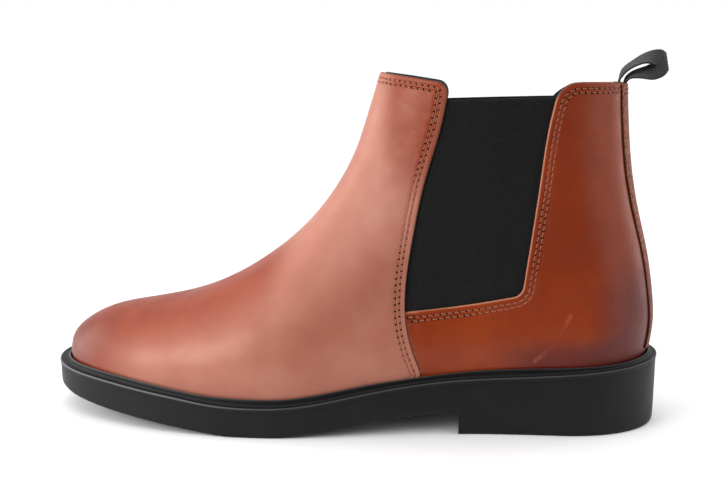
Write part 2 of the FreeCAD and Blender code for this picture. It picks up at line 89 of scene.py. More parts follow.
VAMP_EDGE = [(43.8, 161.5), (40.9, 147), (33.8, 121.5), (28.4, 93.7), (25.3, 65.5),
             (26.2, 52), (30.8, 35.5), (36, 22)]
VAMP_TOP = [(-30, 178), (37, 167.9)]
VAMP_TIP = (44.6, 166.6)            # where its top and rear edge would meet without a rounding
QUARTER_EDGE = [(93.1, 157.5), (91.2, 149), (87.5, 122.4), (84.9, 102), (81.6, 76.5)]
GUSSET_FLOOR = [(76, 66.5), (60, 63.6), (25, 59.3)]
QUARTER_TOP = [(104, 167.3), (150, 167)]
QUARTER_TIP_X = 95.2                # where the quarter's top and front edge would meet
QUARTER_FOOT = (80.3, 67.4)         # where its front edge and its lower edge would meet
OVER_X = 121                        # x from where the quarter's outline follows the side view
CORNER_RADIUS = 6.0
HEAD_RADIUS = {-1: 12.0, 1: 21.0}   # corner at the top of the lateral and the medial quarter
GUSSET_TOP = (158.8, 160.4)         # at its front and rear edge
TOP_SLOPE = 0.042                   # the top line falls this much towards the medial side
LATERAL_TOP = -29.0                 # y where the outlines above hold


def spline(points):
    """Natural cubic through points (t, value), straight beyond its ends."""
    knots, values = np.array(points, float).T
    steps, last = np.diff(knots), len(knots) - 1
    matrix, right = np.eye(last + 1), np.zeros(last + 1)
    slopes = np.diff(values) / steps
    for i in range(1, last):
        matrix[i, i - 1:i + 2] = steps[i - 1], 2 * (steps[i - 1] + steps[i]), steps[i]
        right[i] = 6 * (slopes[i] - slopes[i - 1])
    bend = np.linalg.solve(matrix, right)
    first_slope = slopes[0] - steps[0] * bend[1] / 6
    last_slope = slopes[-1] + steps[-1] * bend[-2] / 6

    def value(t):
        t = np.asarray(t, float)
        inside = np.clip(t, knots[0], knots[-1])
        i = np.clip(np.searchsorted(knots, inside) - 1, 0, last - 1)
        step, before, after = steps[i], inside - knots[i], knots[i + 1] - inside
        cubic = (bend[i] * after ** 3 + bend[i + 1] * before ** 3) / (6 * step)
        start = (values[i] / step - bend[i] * step / 6) * after
        end = (values[i + 1] / step - bend[i + 1] * step / 6) * before
        beyond = first_slope * np.minimum(t - knots[0], 0) + last_slope * np.maximum(t - knots[-1], 0)
        return cubic + start + end + beyond

    return value


def smooth(t):
    t = np.clip(t, 0, 1)
    return t * t * t * (t * (6 * t - 15) + 10)


def bell(t, width):
    return np.exp(-(t / width) ** 2)


ridge_x = spline(list(enumerate([p[0] for p in RIDGE])))
ridge_z = spline(list(enumerate([p[1] for p in RIDGE])))
back_z = spline(list(enumerate(BACK_HEIGHTS)))
back_x, feather, rim = spline(BACK), spline(FEATHER), spline(RIM)
lateral_width, medial_width, axis_y, leg_width = [spline(t) for t in (LATERAL, MEDIAL, AXIS, LEG)]
TOP_RING = len(RIDGE) - 1
STEP = 0.02
line_ring = np.linspace(0, TOP_RING, 2001)
line_x, line_z = ridge_x(line_ring), ridge_z(line_ring)


def look_up(value, keys, others):
    """Reads the ridge line at a given x or z, straight beyond its ends."""
    i = np.clip(np.searchsorted(keys, value) - 1, 0, len(keys) - 2)
    return others[i] + (value - keys[i]) * (others[i + 1] - others[i]) / (keys[i + 1] - keys[i])


def rounding(fraction):
    fraction = np.clip(fraction, 0, 1)
    return np.sqrt(np.maximum(0, 1 - (1 - fraction) ** ROUNDING))


def half_width(x, z, side):
    rise = z - feather(x)
    foot = np.where(side < 0, lateral_width(x), medial_width(x))
    foot = foot + BULGE * bell(rise - 16, 16.0) * smooth((x + 120) / 80)
    blend = smooth((rise - 5) / 95) * smooth((x + 75) / 95)
    width = foot * (1 - blend) + leg_width(z) * blend
    top = look_up(x, line_x, line_z)
    down = np.maximum(top - z, 0)
    behind = np.maximum(x - look_up(z, line_z, line_x), 0)
    inward = down * behind / np.maximum(np.hypot(down, behind), 1e-9)
    height = np.maximum(TOE_RADIUS, top - feather(x))
    radius = 1 / np.hypot(1 / height, 1 / FRONT_RADIUS)
    return width * rounding(inward / radius) * rounding((back_x(z) - x) / BACK_RADIUS)


def ring_point(ring, angle):
    """Point of the skin: ring 0 is the feather line; angle 0 the ridge, pi the back seam,
    negative angles on the lateral side."""
    ring, angle = np.broadcast_arrays(np.asarray(ring, float), np.asarray(angle, float))
    angle = np.where(np.abs(angle) > np.pi, angle - np.copysign(2 * np.pi, angle), angle)
    side = np.where(angle < 0, -1.0, 1.0)
    share = (1 - np.cos(angle)) / 2
    level = np.maximum(ring, 0)
    x0, z0, z1 = ridge_x(level), ridge_z(level), back_z(level)
    x1 = back_x(z1)
    x = x0 + (x1 - x0) * share
    sag = np.maximum(0, 1 - level / 5.5) ** 1.6
    chord = feather(x0) + (feather(x1) - feather(x0)) * share
    z = z0 + (z1 - z0) * share + sag * (feather(x) - chord)
    y = axis_y(x) + side * half_width(x, z, side)
    drop = np.maximum(-ring, 0)
    foot = rim(x) - WELT + GLUE
    y = axis_y(x) + (y - axis_y(x)) * (1 - 0.02 * drop)
    z = z + drop * (foot - z)
    x = x * (1 - 0.009 * drop)
    return vec(x, y, z)


def vec(*parts):
    """Points from their coordinates, each an array or a number."""
    return np.stack(np.broadcast_arrays(*parts), -1)


def unit(v):
    return v / np.maximum(np.linalg.norm(v, axis=-1, keepdims=True), 1e-12)


def normal(ring, angle):
    along = ring_point(ring + STEP, angle) - ring_point(ring - STEP, angle)
    around = ring_point(ring, angle + STEP) - ring_point(ring, angle - STEP)
    return unit(np.cross(along, around))


def skin(ring, angle, offset):
    return ring_point(ring, angle) + normal(ring, angle) * np.asarray(offset)[..., None]


def side_view(spot, slope):
    """(x, z) of skin points in side view, where outlines fall towards the medial side."""
    return vec(spot[..., 0], spot[..., 2] + slope * (spot[..., 1] - LATERAL_TOP))


def slopes_at(seen, u):
    """What seen(ring, angle) gives at u, and how it changes with ring and angle."""
    ring, angle = u.T
    here = seen(ring, angle)
    by_ring = (seen(ring + 1e-3, angle) - here) / 1e-3
    by_angle = (seen(ring, angle + 1e-3) - here) / 1e-3
    return here, np.stack((by_ring, by_angle), -1)


def from_side_view(path, side, slope=TOP_SLOPE):
    """(ring, angle) on one side of the boot of points (x, z) of the side view."""
    def seen(ring, angle):
        return side_view(ring_point(ring, side * angle), slope)

    path = np.array(path, float)
    ring, angle = np.meshgrid(np.linspace(0, TOP_RING, 78), np.linspace(0.02, 3.1, 90))
    ring, angle = ring.ravel(), angle.ravel()
    table = seen(ring, angle)
    nearest = np.array([np.argmin(((table - p) ** 2).sum(1)) for p in path])
    u = vec(ring[nearest], angle[nearest])
    for _ in range(12):
        here, jacobian = slopes_at(seen, u)
        change = np.linalg.solve(jacobian, (path - here)[..., None])[..., 0]
        u = u + np.clip(change, -0.3, 0.3)
        u[:, 1] = np.clip(u[:, 1], 1e-3, 3.14)
    return u * (1, side)


def nearest_place(target, u):
    """(ring, angle) of the skin point nearest to each target, starting from u."""
    for _ in range(6):
        here, jacobian = slopes_at(ring_point, u)
        turned = np.swapaxes(jacobian, -1, -2)
        square, right = turned @ jacobian, turned @ (target - here)[..., None]
        u = u + np.clip(np.linalg.solve(square, right)[..., 0], -0.3, 0.3)
    return u


def lengths(points):
    return np.concatenate(([0], np.cumsum(np.linalg.norm(np.diff(points, axis=0), axis=1))))


def resample(values, points, spacing):
    """values at even steps of length along points."""
    run = lengths(points)
    count = max(3, int(round(run[-1] / spacing)) + 1)
    at = np.linspace(0, run[-1], count)
    return np.stack([np.interp(at, run, column) for column in np.asarray(values).T], -1)


def smooth_path(points, spacing=0.5):
    """Points along a smooth curve through the given ones."""
    points = np.array(points, float)
    run = lengths(points)
    at = np.linspace(0, run[-1], int(run[-1] / spacing) + 2)
    return np.stack([spline(list(zip(run, column)))(at) for column in points.T], -1)


def straight(a, b, spacing=0.5):
    return np.linspace(a, b, max(2, int(math.dist(a, b) / spacing) + 1))


def corner(before, tip, after, radius):
    """Points of the arc that rounds the corner at tip."""
    before, tip, after = [np.array(p, float) for p in (before, tip, after)]
    a, b = unit(before - tip), unit(after - tip)
    half = math.acos(max(-1, min(1, float(a @ b)))) / 2
    run, reach = radius / math.tan(half), radius / math.sin(half)
    centre = tip + unit(a + b) * reach
    start, end = tip + a * run - centre, tip + b * run - centre
    first = math.atan2(start[1], start[0])
    turn = (math.atan2(end[1], end[0]) - first + math.pi) % (2 * math.pi) - math.pi
    angles = first + turn * np.linspace(0, 1, max(6, int(radius * abs(turn) / 0.4)))
    return centre + radius * vec(np.cos(angles), np.sin(angles))


# ---------------------------------------------------------------- meshes

def new_object(name, data):
    thing = bpy.data.objects.new(name, data)
    bpy.context.scene.collection.objects.link(thing)
    return thing


def mesh_object(name, points, faces, materials, kinds=None, sharp=55, fields=None):
    """faces is a list of arrays of triangles or quads; kinds gives each array's material."""
    mesh = bpy.data.meshes.new(name)
    points = (np.asarray(points, float).reshape(-1, 3) + SHIFT) * MM
    faces = [np.asarray(f, np.int32) for f in faces]
    used = [f for f in faces if len(f)]
    mesh.vertices.add(len(points))
    mesh.vertices.foreach_set("co", points.astype(np.float32).ravel())
    loops = np.concatenate([f.ravel() for f in used])
    sizes = np.concatenate([np.full(len(f), f.shape[1], np.int32) for f in used])
    mesh.loops.add(len(loops))
    mesh.loops.foreach_set("vertex_index", loops)
    mesh.polygons.add(len(sizes))
    starts = np.concatenate(([0], np.cumsum(sizes)[:-1])).astype(np.int32)
    mesh.polygons.foreach_set("loop_start", starts)
    mesh.update(calc_edges=True)
    mesh.validate()
    mesh.polygons.foreach_set("use_smooth", np.ones(len(mesh.polygons), bool))
    mesh.set_sharp_from_angle(angle=math.radians(sharp))
    for material in materials if isinstance(materials, (list, tuple)) else [materials]:
        mesh.materials.append(material)
    if kinds is not None:
        index = np.concatenate([np.full(len(f), k, np.int32) for f, k in zip(faces, kinds) if len(f)])
        mesh.polygons.foreach_set("material_index", index)
    for key, values in (fields or {}).items():
        attribute = mesh.attributes.new(key, "FLOAT", "POINT")
        attribute.data.foreach_set("value", np.asarray(values, np.float32).ravel())
    return new_object(name, mesh)


def quads(index):
    """Quads of a grid of point numbers."""
    return vec(index[:-1, :-1], index[:-1, 1:], index[1:, 1:], index[1:, :-1]).reshape(-1, 4)


def grid_faces(rows, columns, closed=False):
    """Quads of a grid whose points run row by row; closed joins the last column to the first."""
    index = np.arange(rows * columns).reshape(rows, columns)
    if closed:
        index = np.concatenate((index, index[:, :1]), 1)
    return quads(index)


def rim_edges(faces):
    """Directed edges that only one face has."""
    pairs = np.concatenate([np.stack((f, np.roll(f, -1, 1)), -1).reshape(-1, 2) for f in faces if len(f)])
    size = int(pairs.max()) + 1
    keys = pairs[:, 0].astype(np.int64) * size + pairs[:, 1]
    reverse = pairs[:, 1].astype(np.int64) * size + pairs[:, 0]
    return pairs[~np.isin(keys, reverse)]


def edge_walls(loose, total):
    """Quads from loose edges down to the same edges of a second layer, total points further on."""
    first, second = loose.T
    return vec(second, first, first + total, second + total)


def in_parts(points):
    """Point numbers in lots of about 2000, so that the tables made from them stay small."""
    return np.array_split(np.arange(len(points)), max(1, len(points) // 2000))


def inside(points, polygon):
    a, b = polygon, np.roll(polygon, -1, 0)
    hit = np.zeros(len(points), bool)
    for part in in_parts(points):
        x, y = points[part, 0][:, None], points[part, 1][:, None]
        crosses = (a[:, 1] > y) != (b[:, 1] > y)
        with np.errstate(divide="ignore", invalid="ignore"):
            at = a[:, 0] + (y - a[:, 1]) * (b[:, 0] - a[:, 0]) / (b[:, 1] - a[:, 1])
        hit[part] = (crosses & (x < at)).sum(1) % 2 == 1
    return hit


def gap_to(points, others):
    """Distance from each point to the nearest of the others."""
    found = np.zeros(len(points))
    for part in in_parts(points):
        found[part] = np.sqrt(((points[part][:, None] - others[None]) ** 2).sum(-1).min(1))
    return found


def fill(border, extra):
    """Triangles over a closed flat border, with extra points inside; indices count the border first."""
    spots = [Vector(p) for p in np.concatenate((border, extra))]
    found = delaunay_2d_cdt(spots, [], [list(range(len(border)))], 1, 1e-6, True)
    triangles, origins = found[2], found[3]
    place = [o[0] if o else -1 for o in origins]
    triangles = np.array([[place[i] for i in t] for t in triangles if len(t) == 3], np.int32)
    triangles = triangles[(triangles >= 0).all(1)]
    spots = np.concatenate((border, extra))
    return triangles[inside(spots[triangles].mean(1), border)]


def fill_grid(border, spacing, least):
    """Even extra points inside a flat border, how far each is from it, and triangles over all."""
    low, high = border.min(0), border.max(0)
    grid = np.meshgrid(*(np.arange(a, b, spacing) for a, b in zip(low, high)), indexing="ij")
    extra = np.stack([values.ravel() for values in grid], -1)
    extra = extra[inside(extra, border)]
    edge = gap_to(extra, border)
    extra, edge = extra[edge > least], edge[edge > least]
    return extra, edge, fill(border, extra)


RING_LENGTH, RADIAN_LENGTH = 17.0, 55.0     # about what a ring and a radian measure
FLAT = np.array((RING_LENGTH, RADIAN_LENGTH))


EDGE_DEPTHS = [0, 0.08, 0.22, 0.45, 0.8, 1.3, 1.8, 2.2, 2.5, 2.8, 3.1, 3.4, 3.8, 4.2, 4.5, 4.8,
               5.1, 5.5]


def panel(name, trim, closing, side, materials, shape, base=0.0, thickness=LEATHER, spacing=1.6,
          along=0.6, rows=ROWS, depths=EDGE_DEPTHS):
    """A sheet of the upper and its stitch rows. trim is its free edge as (ring, angle), closing
    the rest of its outline from the end of trim back to the start. shape(points, d, phases) gives
    the height of the outer face; d is the distance from the free edge, phases the place along
    each stitch row in stitches."""
    trim = resample(trim, ring_point(*trim.T), along)
    points = ring_point(*trim.T)
    run = lengths(points)
    inward = side * np.cross(normal(*trim.T), unit(np.gradient(points, axis=0)))
    band, place = [trim], trim
    for depth in depths[1:]:
        place = nearest_place(points + inward * depth, place)
        band.append(place)
    columns = len(trim)
    border = np.concatenate((band[-1], closing))
    outline = border * FLAT
    ring = np.arange(min(border[:, 0].min(), 0), border[:, 0].max(), spacing / RING_LENGTH * 0.9)
    extra = []
    for k, r in enumerate(ring):
        angles = np.linspace(border[:, 1].min(), border[:, 1].max(), 400)
        at = resample(angles[:, None], ring_point(r, angles), spacing)[:, 0]
        shift = 0.5 * (at[1] - at[0]) * (k % 2)
        extra.append(vec(r, at + shift))
    extra = np.concatenate(extra)
    extra = extra[inside(extra * FLAT, outline)]
    extra = extra[gap_to(extra * FLAT, outline) > spacing * 0.55]
    triangles = fill(outline, extra * FLAT) + (len(depths) - 1) * columns
    u = np.concatenate(band[:-1] + [border, extra])
    d = np.full(len(u), FAR)
    s = np.zeros(len(u))
    for k, depth in enumerate(depths):
        d[k * columns:(k + 1) * columns] = depth
        s[k * columns:(k + 1) * columns] = run
    n, ground = normal(*u.T), ring_point(*u.T)
    places = [nearest_place(points + inward * depth, trim) for depth in rows]
    phases = [np.interp(s, run, lengths(ring_point(*place.T))) / PITCH - shift
              for place, shift in zip(places, ROW_SHIFT)]
    height = base + shape(ground, d, phases)
    outer = ground + n * height[:, None]
    inner = ground + n * np.minimum(base - thickness, height - 0.4)[:, None]
    faces = [grid_faces(len(depths), columns), triangles]
    for i, f in enumerate(faces):
        if len(f):
            a, b, c = outer[f[:, 0]], outer[f[:, 1]], outer[f[:, 2]]
            facing = (np.cross(b - a, c - a) * n[f[:, 0]]).sum(1)
            if np.median(facing) < 0:
                faces[i] = f[:, ::-1]
    loose = rim_edges(faces)
    total = len(u)
    walls = edge_walls(loose, total)
    cut = (loose < columns).all(1)
    faces += [f[:, ::-1] + total for f in faces] + [walls[cut], walls[~cut]]
    many = isinstance(materials, (list, tuple))
    kinds = [0, 0, 1, 1, 2, 0] if many else None
    fields = leather_fields(np.concatenate((outer, inner)), np.tile(d, 2)) if many else None
    thing = mesh_object(name, np.concatenate((outer, inner)), faces, materials, kinds, fields=fields)
    return thing, places


# ---------------------------------------------------------------- materials

class Nodes:
    """Short way to wire a node tree."""

    def __init__(self, tree):
        self.tree = tree

    def put(self, node, sockets):
        for key, value in sockets.items():
            key = key.replace("_", " ") if isinstance(key, str) else key
            if isinstance(value, bpy.types.NodeSocket):
                self.tree.links.new(value, node.inputs[key])
            else:
                node.inputs[key].default_value = value

    def node(self, kind, settings=None, **sockets):
        node = self.tree.nodes.new("ShaderNode" + kind)
        for key, value in (settings or {}).items():
            setattr(node, key, value)
        self.put(node, sockets)
        return node

    def span(self, value, low, high, first=0.0, last=1.0):
        node = self.node("MapRange", {"interpolation_type": "SMOOTHSTEP"}, Value=value)
        for key, number in zip(("From Min", "From Max", "To Min", "To Max"), (low, high, first, last)):
            node.inputs[key].default_value = number
        return node.outputs[0]

    def math(self, operation, a, b=0.0):
        node = self.node("Math", {"operation": operation})
        self.put(node, {0: a, 1: b})
        return node.outputs[0]


class Paint(Nodes):
    """A material and its nodes. field() reads one of the fields that mesh_object() stores."""

    def __init__(self, name, **sockets):
        self.material = bpy.data.materials.new(name)
        self.material.use_nodes = True
        super().__init__(self.material.node_tree)
        self.shader = self.tree.nodes["Principled BSDF"]
        self.put(self.shader, sockets)

    def where(self, scale=(1, 1, 1)):
        spot = self.node("TexCoord").outputs["Object"]
        return self.node("Mapping", Vector=spot, Scale=scale).outputs[0]

    def noise(self, scale, detail=3.0, rough=0.5, stretch=(1, 1, 1)):
        return self.node("TexNoise", Vector=self.where(stretch), Scale=scale, Detail=detail,
                         Roughness=rough).outputs["Fac"]

    def cells(self, scale, stretch=(1, 1, 1), feature="F1"):
        return self.node("TexVoronoi", {"feature": feature}, Vector=self.where(stretch),
                         Scale=scale).outputs["Distance"]

    def field(self, name):
        return self.node("Attribute", {"attribute_name": name}).outputs["Fac"]

    def mix(self, share, a, b):
        node = self.node("Mix", {"data_type": "RGBA"})
        self.put(node, {0: share, 6: a, 7: b})
        return node.outputs[2]

    def wave(self, direction, scale, distortion):
        return self.node("TexWave", {"bands_direction": direction}, Vector=self.where(), Scale=scale,
                         Distortion=distortion).outputs["Fac"]

    def bump(self, height, distance, strength=1.0, under=None):
        node = self.node("Bump", Height=height, Distance=distance, Strength=strength)
        if under is not None:
            self.tree.links.new(under, node.inputs["Normal"])
        return node.outputs[0]

    def done(self, **sockets):
        self.put(self.shader, sockets)
        return self.material


def rgb(red, green, blue):
    """Linear colour of an sRGB triple from 0 to 255."""
    def line(value):
        value /= 255
        return value / 12.92 if value <= 0.04045 else ((value + 0.055) / 1.055) ** 2.4
    return line(red), line(green), line(blue), 1.0


def leather_paint():
    p = Paint("burnished_leather", Specular_IOR_Level=0.5, Specular_Tint=(1.0, 0.76, 0.68, 1.0))
    cloud = p.noise(14, 4, 0.6)
    mottle = p.noise(70, 5, 0.65)
    base = p.mix(p.span(cloud, 0.35, 0.65), rgb(131, 44, 10), rgb(146, 55, 15))
    base = p.mix(p.span(mottle, 0.42, 0.7, 0, 0.35), base, rgb(120, 38, 10))
    # painted highlight: the vamp's sheen field mixes in a light pinkish colour, broken up by noise
    sheen_share = p.math("MULTIPLY", p.field("painted_sheen"), p.span(p.noise(22, 3, 0.6), 0.3, 0.7, 0.65, 1.0))
    base = p.mix(sheen_share, base, rgb(178, 116, 98))
    base = p.mix(p.math("MULTIPLY", p.field("toe"), 0.8), base, rgb(92, 22, 14))
    base = p.mix(p.math("MULTIPLY", p.field("heel"), 0.9), base, rgb(84, 15, 16))
    base = p.mix(p.field("edge"), base, rgb(52, 14, 8))
    # light edge colour: partly the cut leather's own tone, partly a painted highlight
    base = p.mix(p.field("raw_edge_and_highlight"), base, rgb(196, 128, 98))
    base = p.mix(p.math("MULTIPLY", p.field("scratch"), 0.75), base, rgb(206, 122, 92))
    pores = p.cells(1500)
    grain = p.noise(900, 3, 0.6)
    folds = p.noise(160, 4, 0.6)
    bump = p.bump(pores, 0.00006, 0.35)
    bump = p.bump(grain, 0.00008, 0.4, bump)
    bump = p.bump(folds, 0.0003, 0.22, bump)
    rough = p.math("ADD", p.span(mottle, 0.3, 0.7, 0.36, 0.48), p.math("MULTIPLY", p.field("raw_edge_and_highlight"), 0.25))
    return p.done(Base_Color=base, Roughness=rough, Normal=bump)


def strip_paint():
    """Leather of the back strip, rough and rubbed, burnished towards the sole."""
    p = Paint("rough_leather", Specular_IOR_Level=0.3, Specular_Tint=(1.0, 0.6, 0.45, 1.0))
    mesh = p.cells(900, (1, 1, 0.8), "SMOOTH_F1")
    flecks = p.noise(700, 4, 0.7)
    broad = p.noise(60, 3, 0.6)
    base = p.mix(p.span(mesh, 0.1, 0.6), rgb(184, 108, 74), rgb(92, 38, 20))
    base = p.mix(p.span(flecks, 0.5, 0.68, 0, 0.8), base, rgb(72, 28, 16))
    base = p.mix(p.span(broad, 0.4, 0.65, 0, 0.4), base, rgb(124, 58, 42))
    base = p.mix(p.math("MULTIPLY", p.field("heel"), 0.6), base, rgb(92, 34, 26))
    base = p.mix(p.field("edge"), base, rgb(44, 8, 5))
    bump = p.bump(mesh, 0.0003, 0.6, p.bump(flecks, 0.0002, 0.5))
    return p.done(Base_Color=base, Roughness=p.span(flecks, 0.3, 0.7, 0.5, 0.7), Normal=bump)


def cut_paint():
    p = Paint("raw_leather_edge", Roughness=0.8)
    fibre = p.noise(900, 4, 0.7)
    colour = p.mix(p.span(fibre, 0.3, 0.7), rgb(176, 112, 72), rgb(214, 158, 116))
    return p.done(Base_Color=colour, Normal=p.bump(fibre, 0.0002, 0.6))


def flesh_paint():
    p = Paint("leather_flesh_side", Roughness=0.9)
    nap = p.noise(1200, 4, 0.7)
    return p.done(Base_Color=p.mix(nap, rgb(120, 76, 48), rgb(164, 112, 76)),
                  Normal=p.bump(nap, 0.0003, 0.7))


def thread_paint(name, dark, light):
    p = Paint(name, Roughness=0.55)
    twist = p.wave("DIAGONAL", 900.0, 1.0)
    return p.done(Base_Color=p.mix(twist, dark, light), Normal=p.bump(twist, 0.00015, 0.6))


def plain_paint(name, dark, light, scale=300, rough=(0.6, 0.8), depth=0.0001, **sockets):
    p = Paint(name, **sockets)
    speck = p.noise(scale, 4, 0.6)
    return p.done(Base_Color=p.mix(p.span(speck, 0.3, 0.7), dark, light),
                  Roughness=p.span(speck, 0.3, 0.7, *rough), Normal=p.bump(speck, depth, 0.5))


def elastic_paint():
    p = Paint("ribbed_elastic", Roughness=0.85, Specular_IOR_Level=0.25, Sheen_Weight=0.05,
              Sheen_Roughness=0.5)
    yarn = p.wave("X", 300.0, 0.6)
    fuzz = p.noise(1400, 3, 0.7)
    broad = p.noise(40, 3, 0.5)
    colour = p.mix(p.span(fuzz, 0.3, 0.75), rgb(8, 9, 9), rgb(26, 28, 27))
    colour = p.mix(p.span(broad, 0.4, 0.7, 0, 0.35), colour, rgb(15, 16, 16))
    bump = p.bump(yarn, 0.00012, 0.5)
    return p.done(Base_Color=colour, Normal=p.bump(fuzz, 0.00012, 0.5, bump))


def weave_paint(name, dark, light, pitch=1100.0, sheen=0.1):
    p = Paint(name, Roughness=0.85, Sheen_Weight=sheen)
    across, up = [p.wave(direction, pitch / 6.3, 0.5) for direction in "XZ"]
    cloth = p.math("MULTIPLY", across, up)
    fuzz = p.noise(900, 3, 0.6)
    colour = p.mix(p.math("MULTIPLY", cloth, fuzz), dark, light)
    return p.done(Base_Color=colour, Normal=p.bump(cloth, 0.0002, 0.5, p.bump(fuzz, 0.0001, 0.4)))


def rubber_paint(name, dark, light):
    p = Paint(name, Specular_IOR_Level=0.24)
    cloud = p.noise(60, 4, 0.6)
    scuff = p.noise(240, 3, 0.6, (0.18, 0.18, 2.2))
    speck = p.noise(1800, 2, 0.6)
    colour = p.mix(p.span(cloud, 0.35, 0.7), dark, light)
    colour = p.mix(p.span(scuff, 0.66, 0.8, 0, 0.2), colour, rgb(60, 60, 62))
    # lighter grey on the welt's crests: wear and a painted highlight
    colour = p.mix(p.field("wear_and_highlight"), colour, rgb(104, 106, 108))
    rough = p.math("ADD", p.span(cloud, 0.3, 0.7, 0.46, 0.58), p.span(scuff, 0.6, 0.8, 0, 0.15))
    bump = p.bump(speck, 0.00005, 0.4)
    return p.done(Base_Color=colour, Roughness=rough, Normal=p.bump(scuff, 0.00008, 0.3, bump))


def metal_paint(name, colour):
    p = Paint(name, Metallic=1.0)
    brushed = p.noise(500, 3, 0.6, (0.1, 1, 1))
    return p.done(Base_Color=p.mix(p.span(brushed, 0.3, 0.7), colour, rgb(90, 88, 84)),
                  Roughness=p.span(brushed, 0.3, 0.7, 0.25, 0.45), Normal=p.bump(brushed, 0.00005, 0.4))


LEATHER_SET = [leather_paint(), cut_paint(), flesh_paint()]
STRIP_LEATHER = strip_paint()
STRIP_EDGE = plain_paint("burnished_strip_edge", rgb(34, 7, 5), rgb(52, 14, 9), 500)
THREAD = thread_paint("tan_thread", rgb(142, 72, 44), rgb(190, 114, 82))
# the needle holes are dark discs: painted shade of the holes
HOLE_SHADE = plain_paint("needle_hole_shade", rgb(20, 4, 2), rgb(34, 8, 4), Specular_IOR_Level=0.1)
ELASTIC = elastic_paint()
CLOTH = weave_paint("black_lining", rgb(9, 9, 10), rgb(34, 34, 36))
WEBBING = weave_paint("black_webbing", rgb(10, 10, 11), rgb(44, 44, 46), 1500.0, 0.15)
SUEDE = plain_paint("black_suede", rgb(14, 14, 15), rgb(36, 35, 36), 700, (0.85, 0.95), 0.0003,
                    Sheen_Weight=0.3)
SOCK = plain_paint("sock_cover", rgb(16, 15, 15), rgb(38, 36, 35), 420, (0.55, 0.75), 0.0001)
RUBBER = rubber_paint("black_rubber", rgb(9, 9, 10), rgb(17, 17, 18))
WELT_RUBBER = rubber_paint("black_welt", rgb(6, 6, 7), rgb(12, 12, 13))


# ---------------------------------------------------------------- leather panels

vamp_path = smooth_path(VAMP_EDGE)


def vamp_x(z):
    """x of the vamp's rear edge at a height, in side view."""
    return np.interp(z, vamp_path[::-1, 1], vamp_path[::-1, 0])


def level(angles, height, slope=TOP_SLOPE):
    """(ring, angle) where the skin meets the side-view line z = height(x), near the top."""
    low, high = np.full(len(angles), 8.0), np.full(len(angles), 11.4)
    for _ in range(40):
        middle = (low + high) / 2
        seen = side_view(ring_point(middle, angles), slope)
        below = seen[:, 1] < height(seen[:, 0])
        low, high = np.where(below, middle, low), np.where(below, high, middle)
    return vec(low, angles)


def vamp_top(x):
    (xa, za), (xb, zb) = VAMP_TOP
    return za + (x - xa) * (zb - za) / (xb - xa)


def vamp_trim(rise=0.0, gap=0.0):
    """Free edge of the vamp from its lateral foot over the top to its medial foot."""
    tip = (VAMP_TIP[0] - gap, VAMP_TIP[1] + rise)
    edge = np.array(VAMP_EDGE) + (-gap, 0)
    top = np.array(VAMP_TOP) + (0, rise)
    arc = corner(top[0], tip, edge[1], CORNER_RADIUS)
    rear = smooth_path(np.concatenate(([arc[-1]], edge[1:])))
    rear = rear[rear[:, 1] > feather(rear[:, 0]) + 0.3]
    over = straight((top[1][0] - 12, vamp_top(top[1][0] - 12) + rise), arc[0])
    halves = []
    for side in (-1, 1):
        run = from_side_view(np.concatenate((over[:-1], arc, rear[1:])), side)
        front = level(np.linspace(0, run[0, 1], 60), lambda x: vamp_top(x) + rise)
        lower = vec(np.linspace(run[-1, 0], LASTED, 6)[1:], run[-1, 1])
        halves.append(np.concatenate((front[:-1], run, lower)))
    return np.concatenate((halves[0][::-1], halves[1][1:]))


BACK_ANGLE = math.pi - 0.004        # where a quarter ends, just short of the back seam


def quarter_trim(side, rise=0.0, gap=1.5):
    """Free edge of a quarter from the back seam along the top, down the front and forward."""
    top = np.array(QUARTER_TOP) + (0, rise)
    head = corner(top[1], (QUARTER_TIP_X, top[0][1]), QUARTER_EDGE[1], HEAD_RADIUS[side])
    foot = corner(QUARTER_EDGE[-1], QUARTER_FOOT, GUSSET_FLOOR[1], CORNER_RADIUS)
    down = smooth_path(np.concatenate(([head[-1]], QUARTER_EDGE[1:-1], [foot[0]])))
    floor = smooth_path(np.concatenate(([foot[-1]], GUSSET_FLOOR[1:])))
    floor = floor[floor[:, 0] > vamp_x(floor[:, 1]) - gap]
    over = straight((OVER_X, top[0][1]), head[0])
    run = from_side_view(np.concatenate((over[:-1], head, down[1:], foot[1:], floor[1:])), side)
    back = level(np.linspace(side * BACK_ANGLE, run[0, 1], 40), lambda x: np.full(x.shape, top[0][1]))
    return np.concatenate((back[:-1], run))


def quarter_closing(side, trim, gap=1.5):
    """Rest of a quarter's outline: down beside the vamp, along the sole and up the back seam."""
    z = np.arange(59.0, 28.0, -1.2)
    seam = vec(vamp_x(z) - gap, z)
    floor_end = side_view(ring_point(*trim[-1]), TOP_SLOPE)[1]
    seam = seam[(seam[:, 1] < floor_end - 1.0) & (seam[:, 1] > feather(seam[:, 0]) + 0.4)]
    seam = from_side_view(seam, side)
    low = vec(np.linspace(seam[-1, 0], LASTED, 5)[1:], seam[-1, 1])
    bottom = vec(LASTED, np.linspace(seam[-1, 1], side * BACK_ANGLE, 90)[1:])
    back = vec(np.linspace(LASTED, trim[0, 0], 90)[1:-1], side * BACK_ANGLE)
    return np.concatenate((seam, low, bottom, back))


SCRATCH_START, SCRATCH_RUN = (86.2, 35), (17.4, 25)     # (x, z) where it starts, and how far it goes


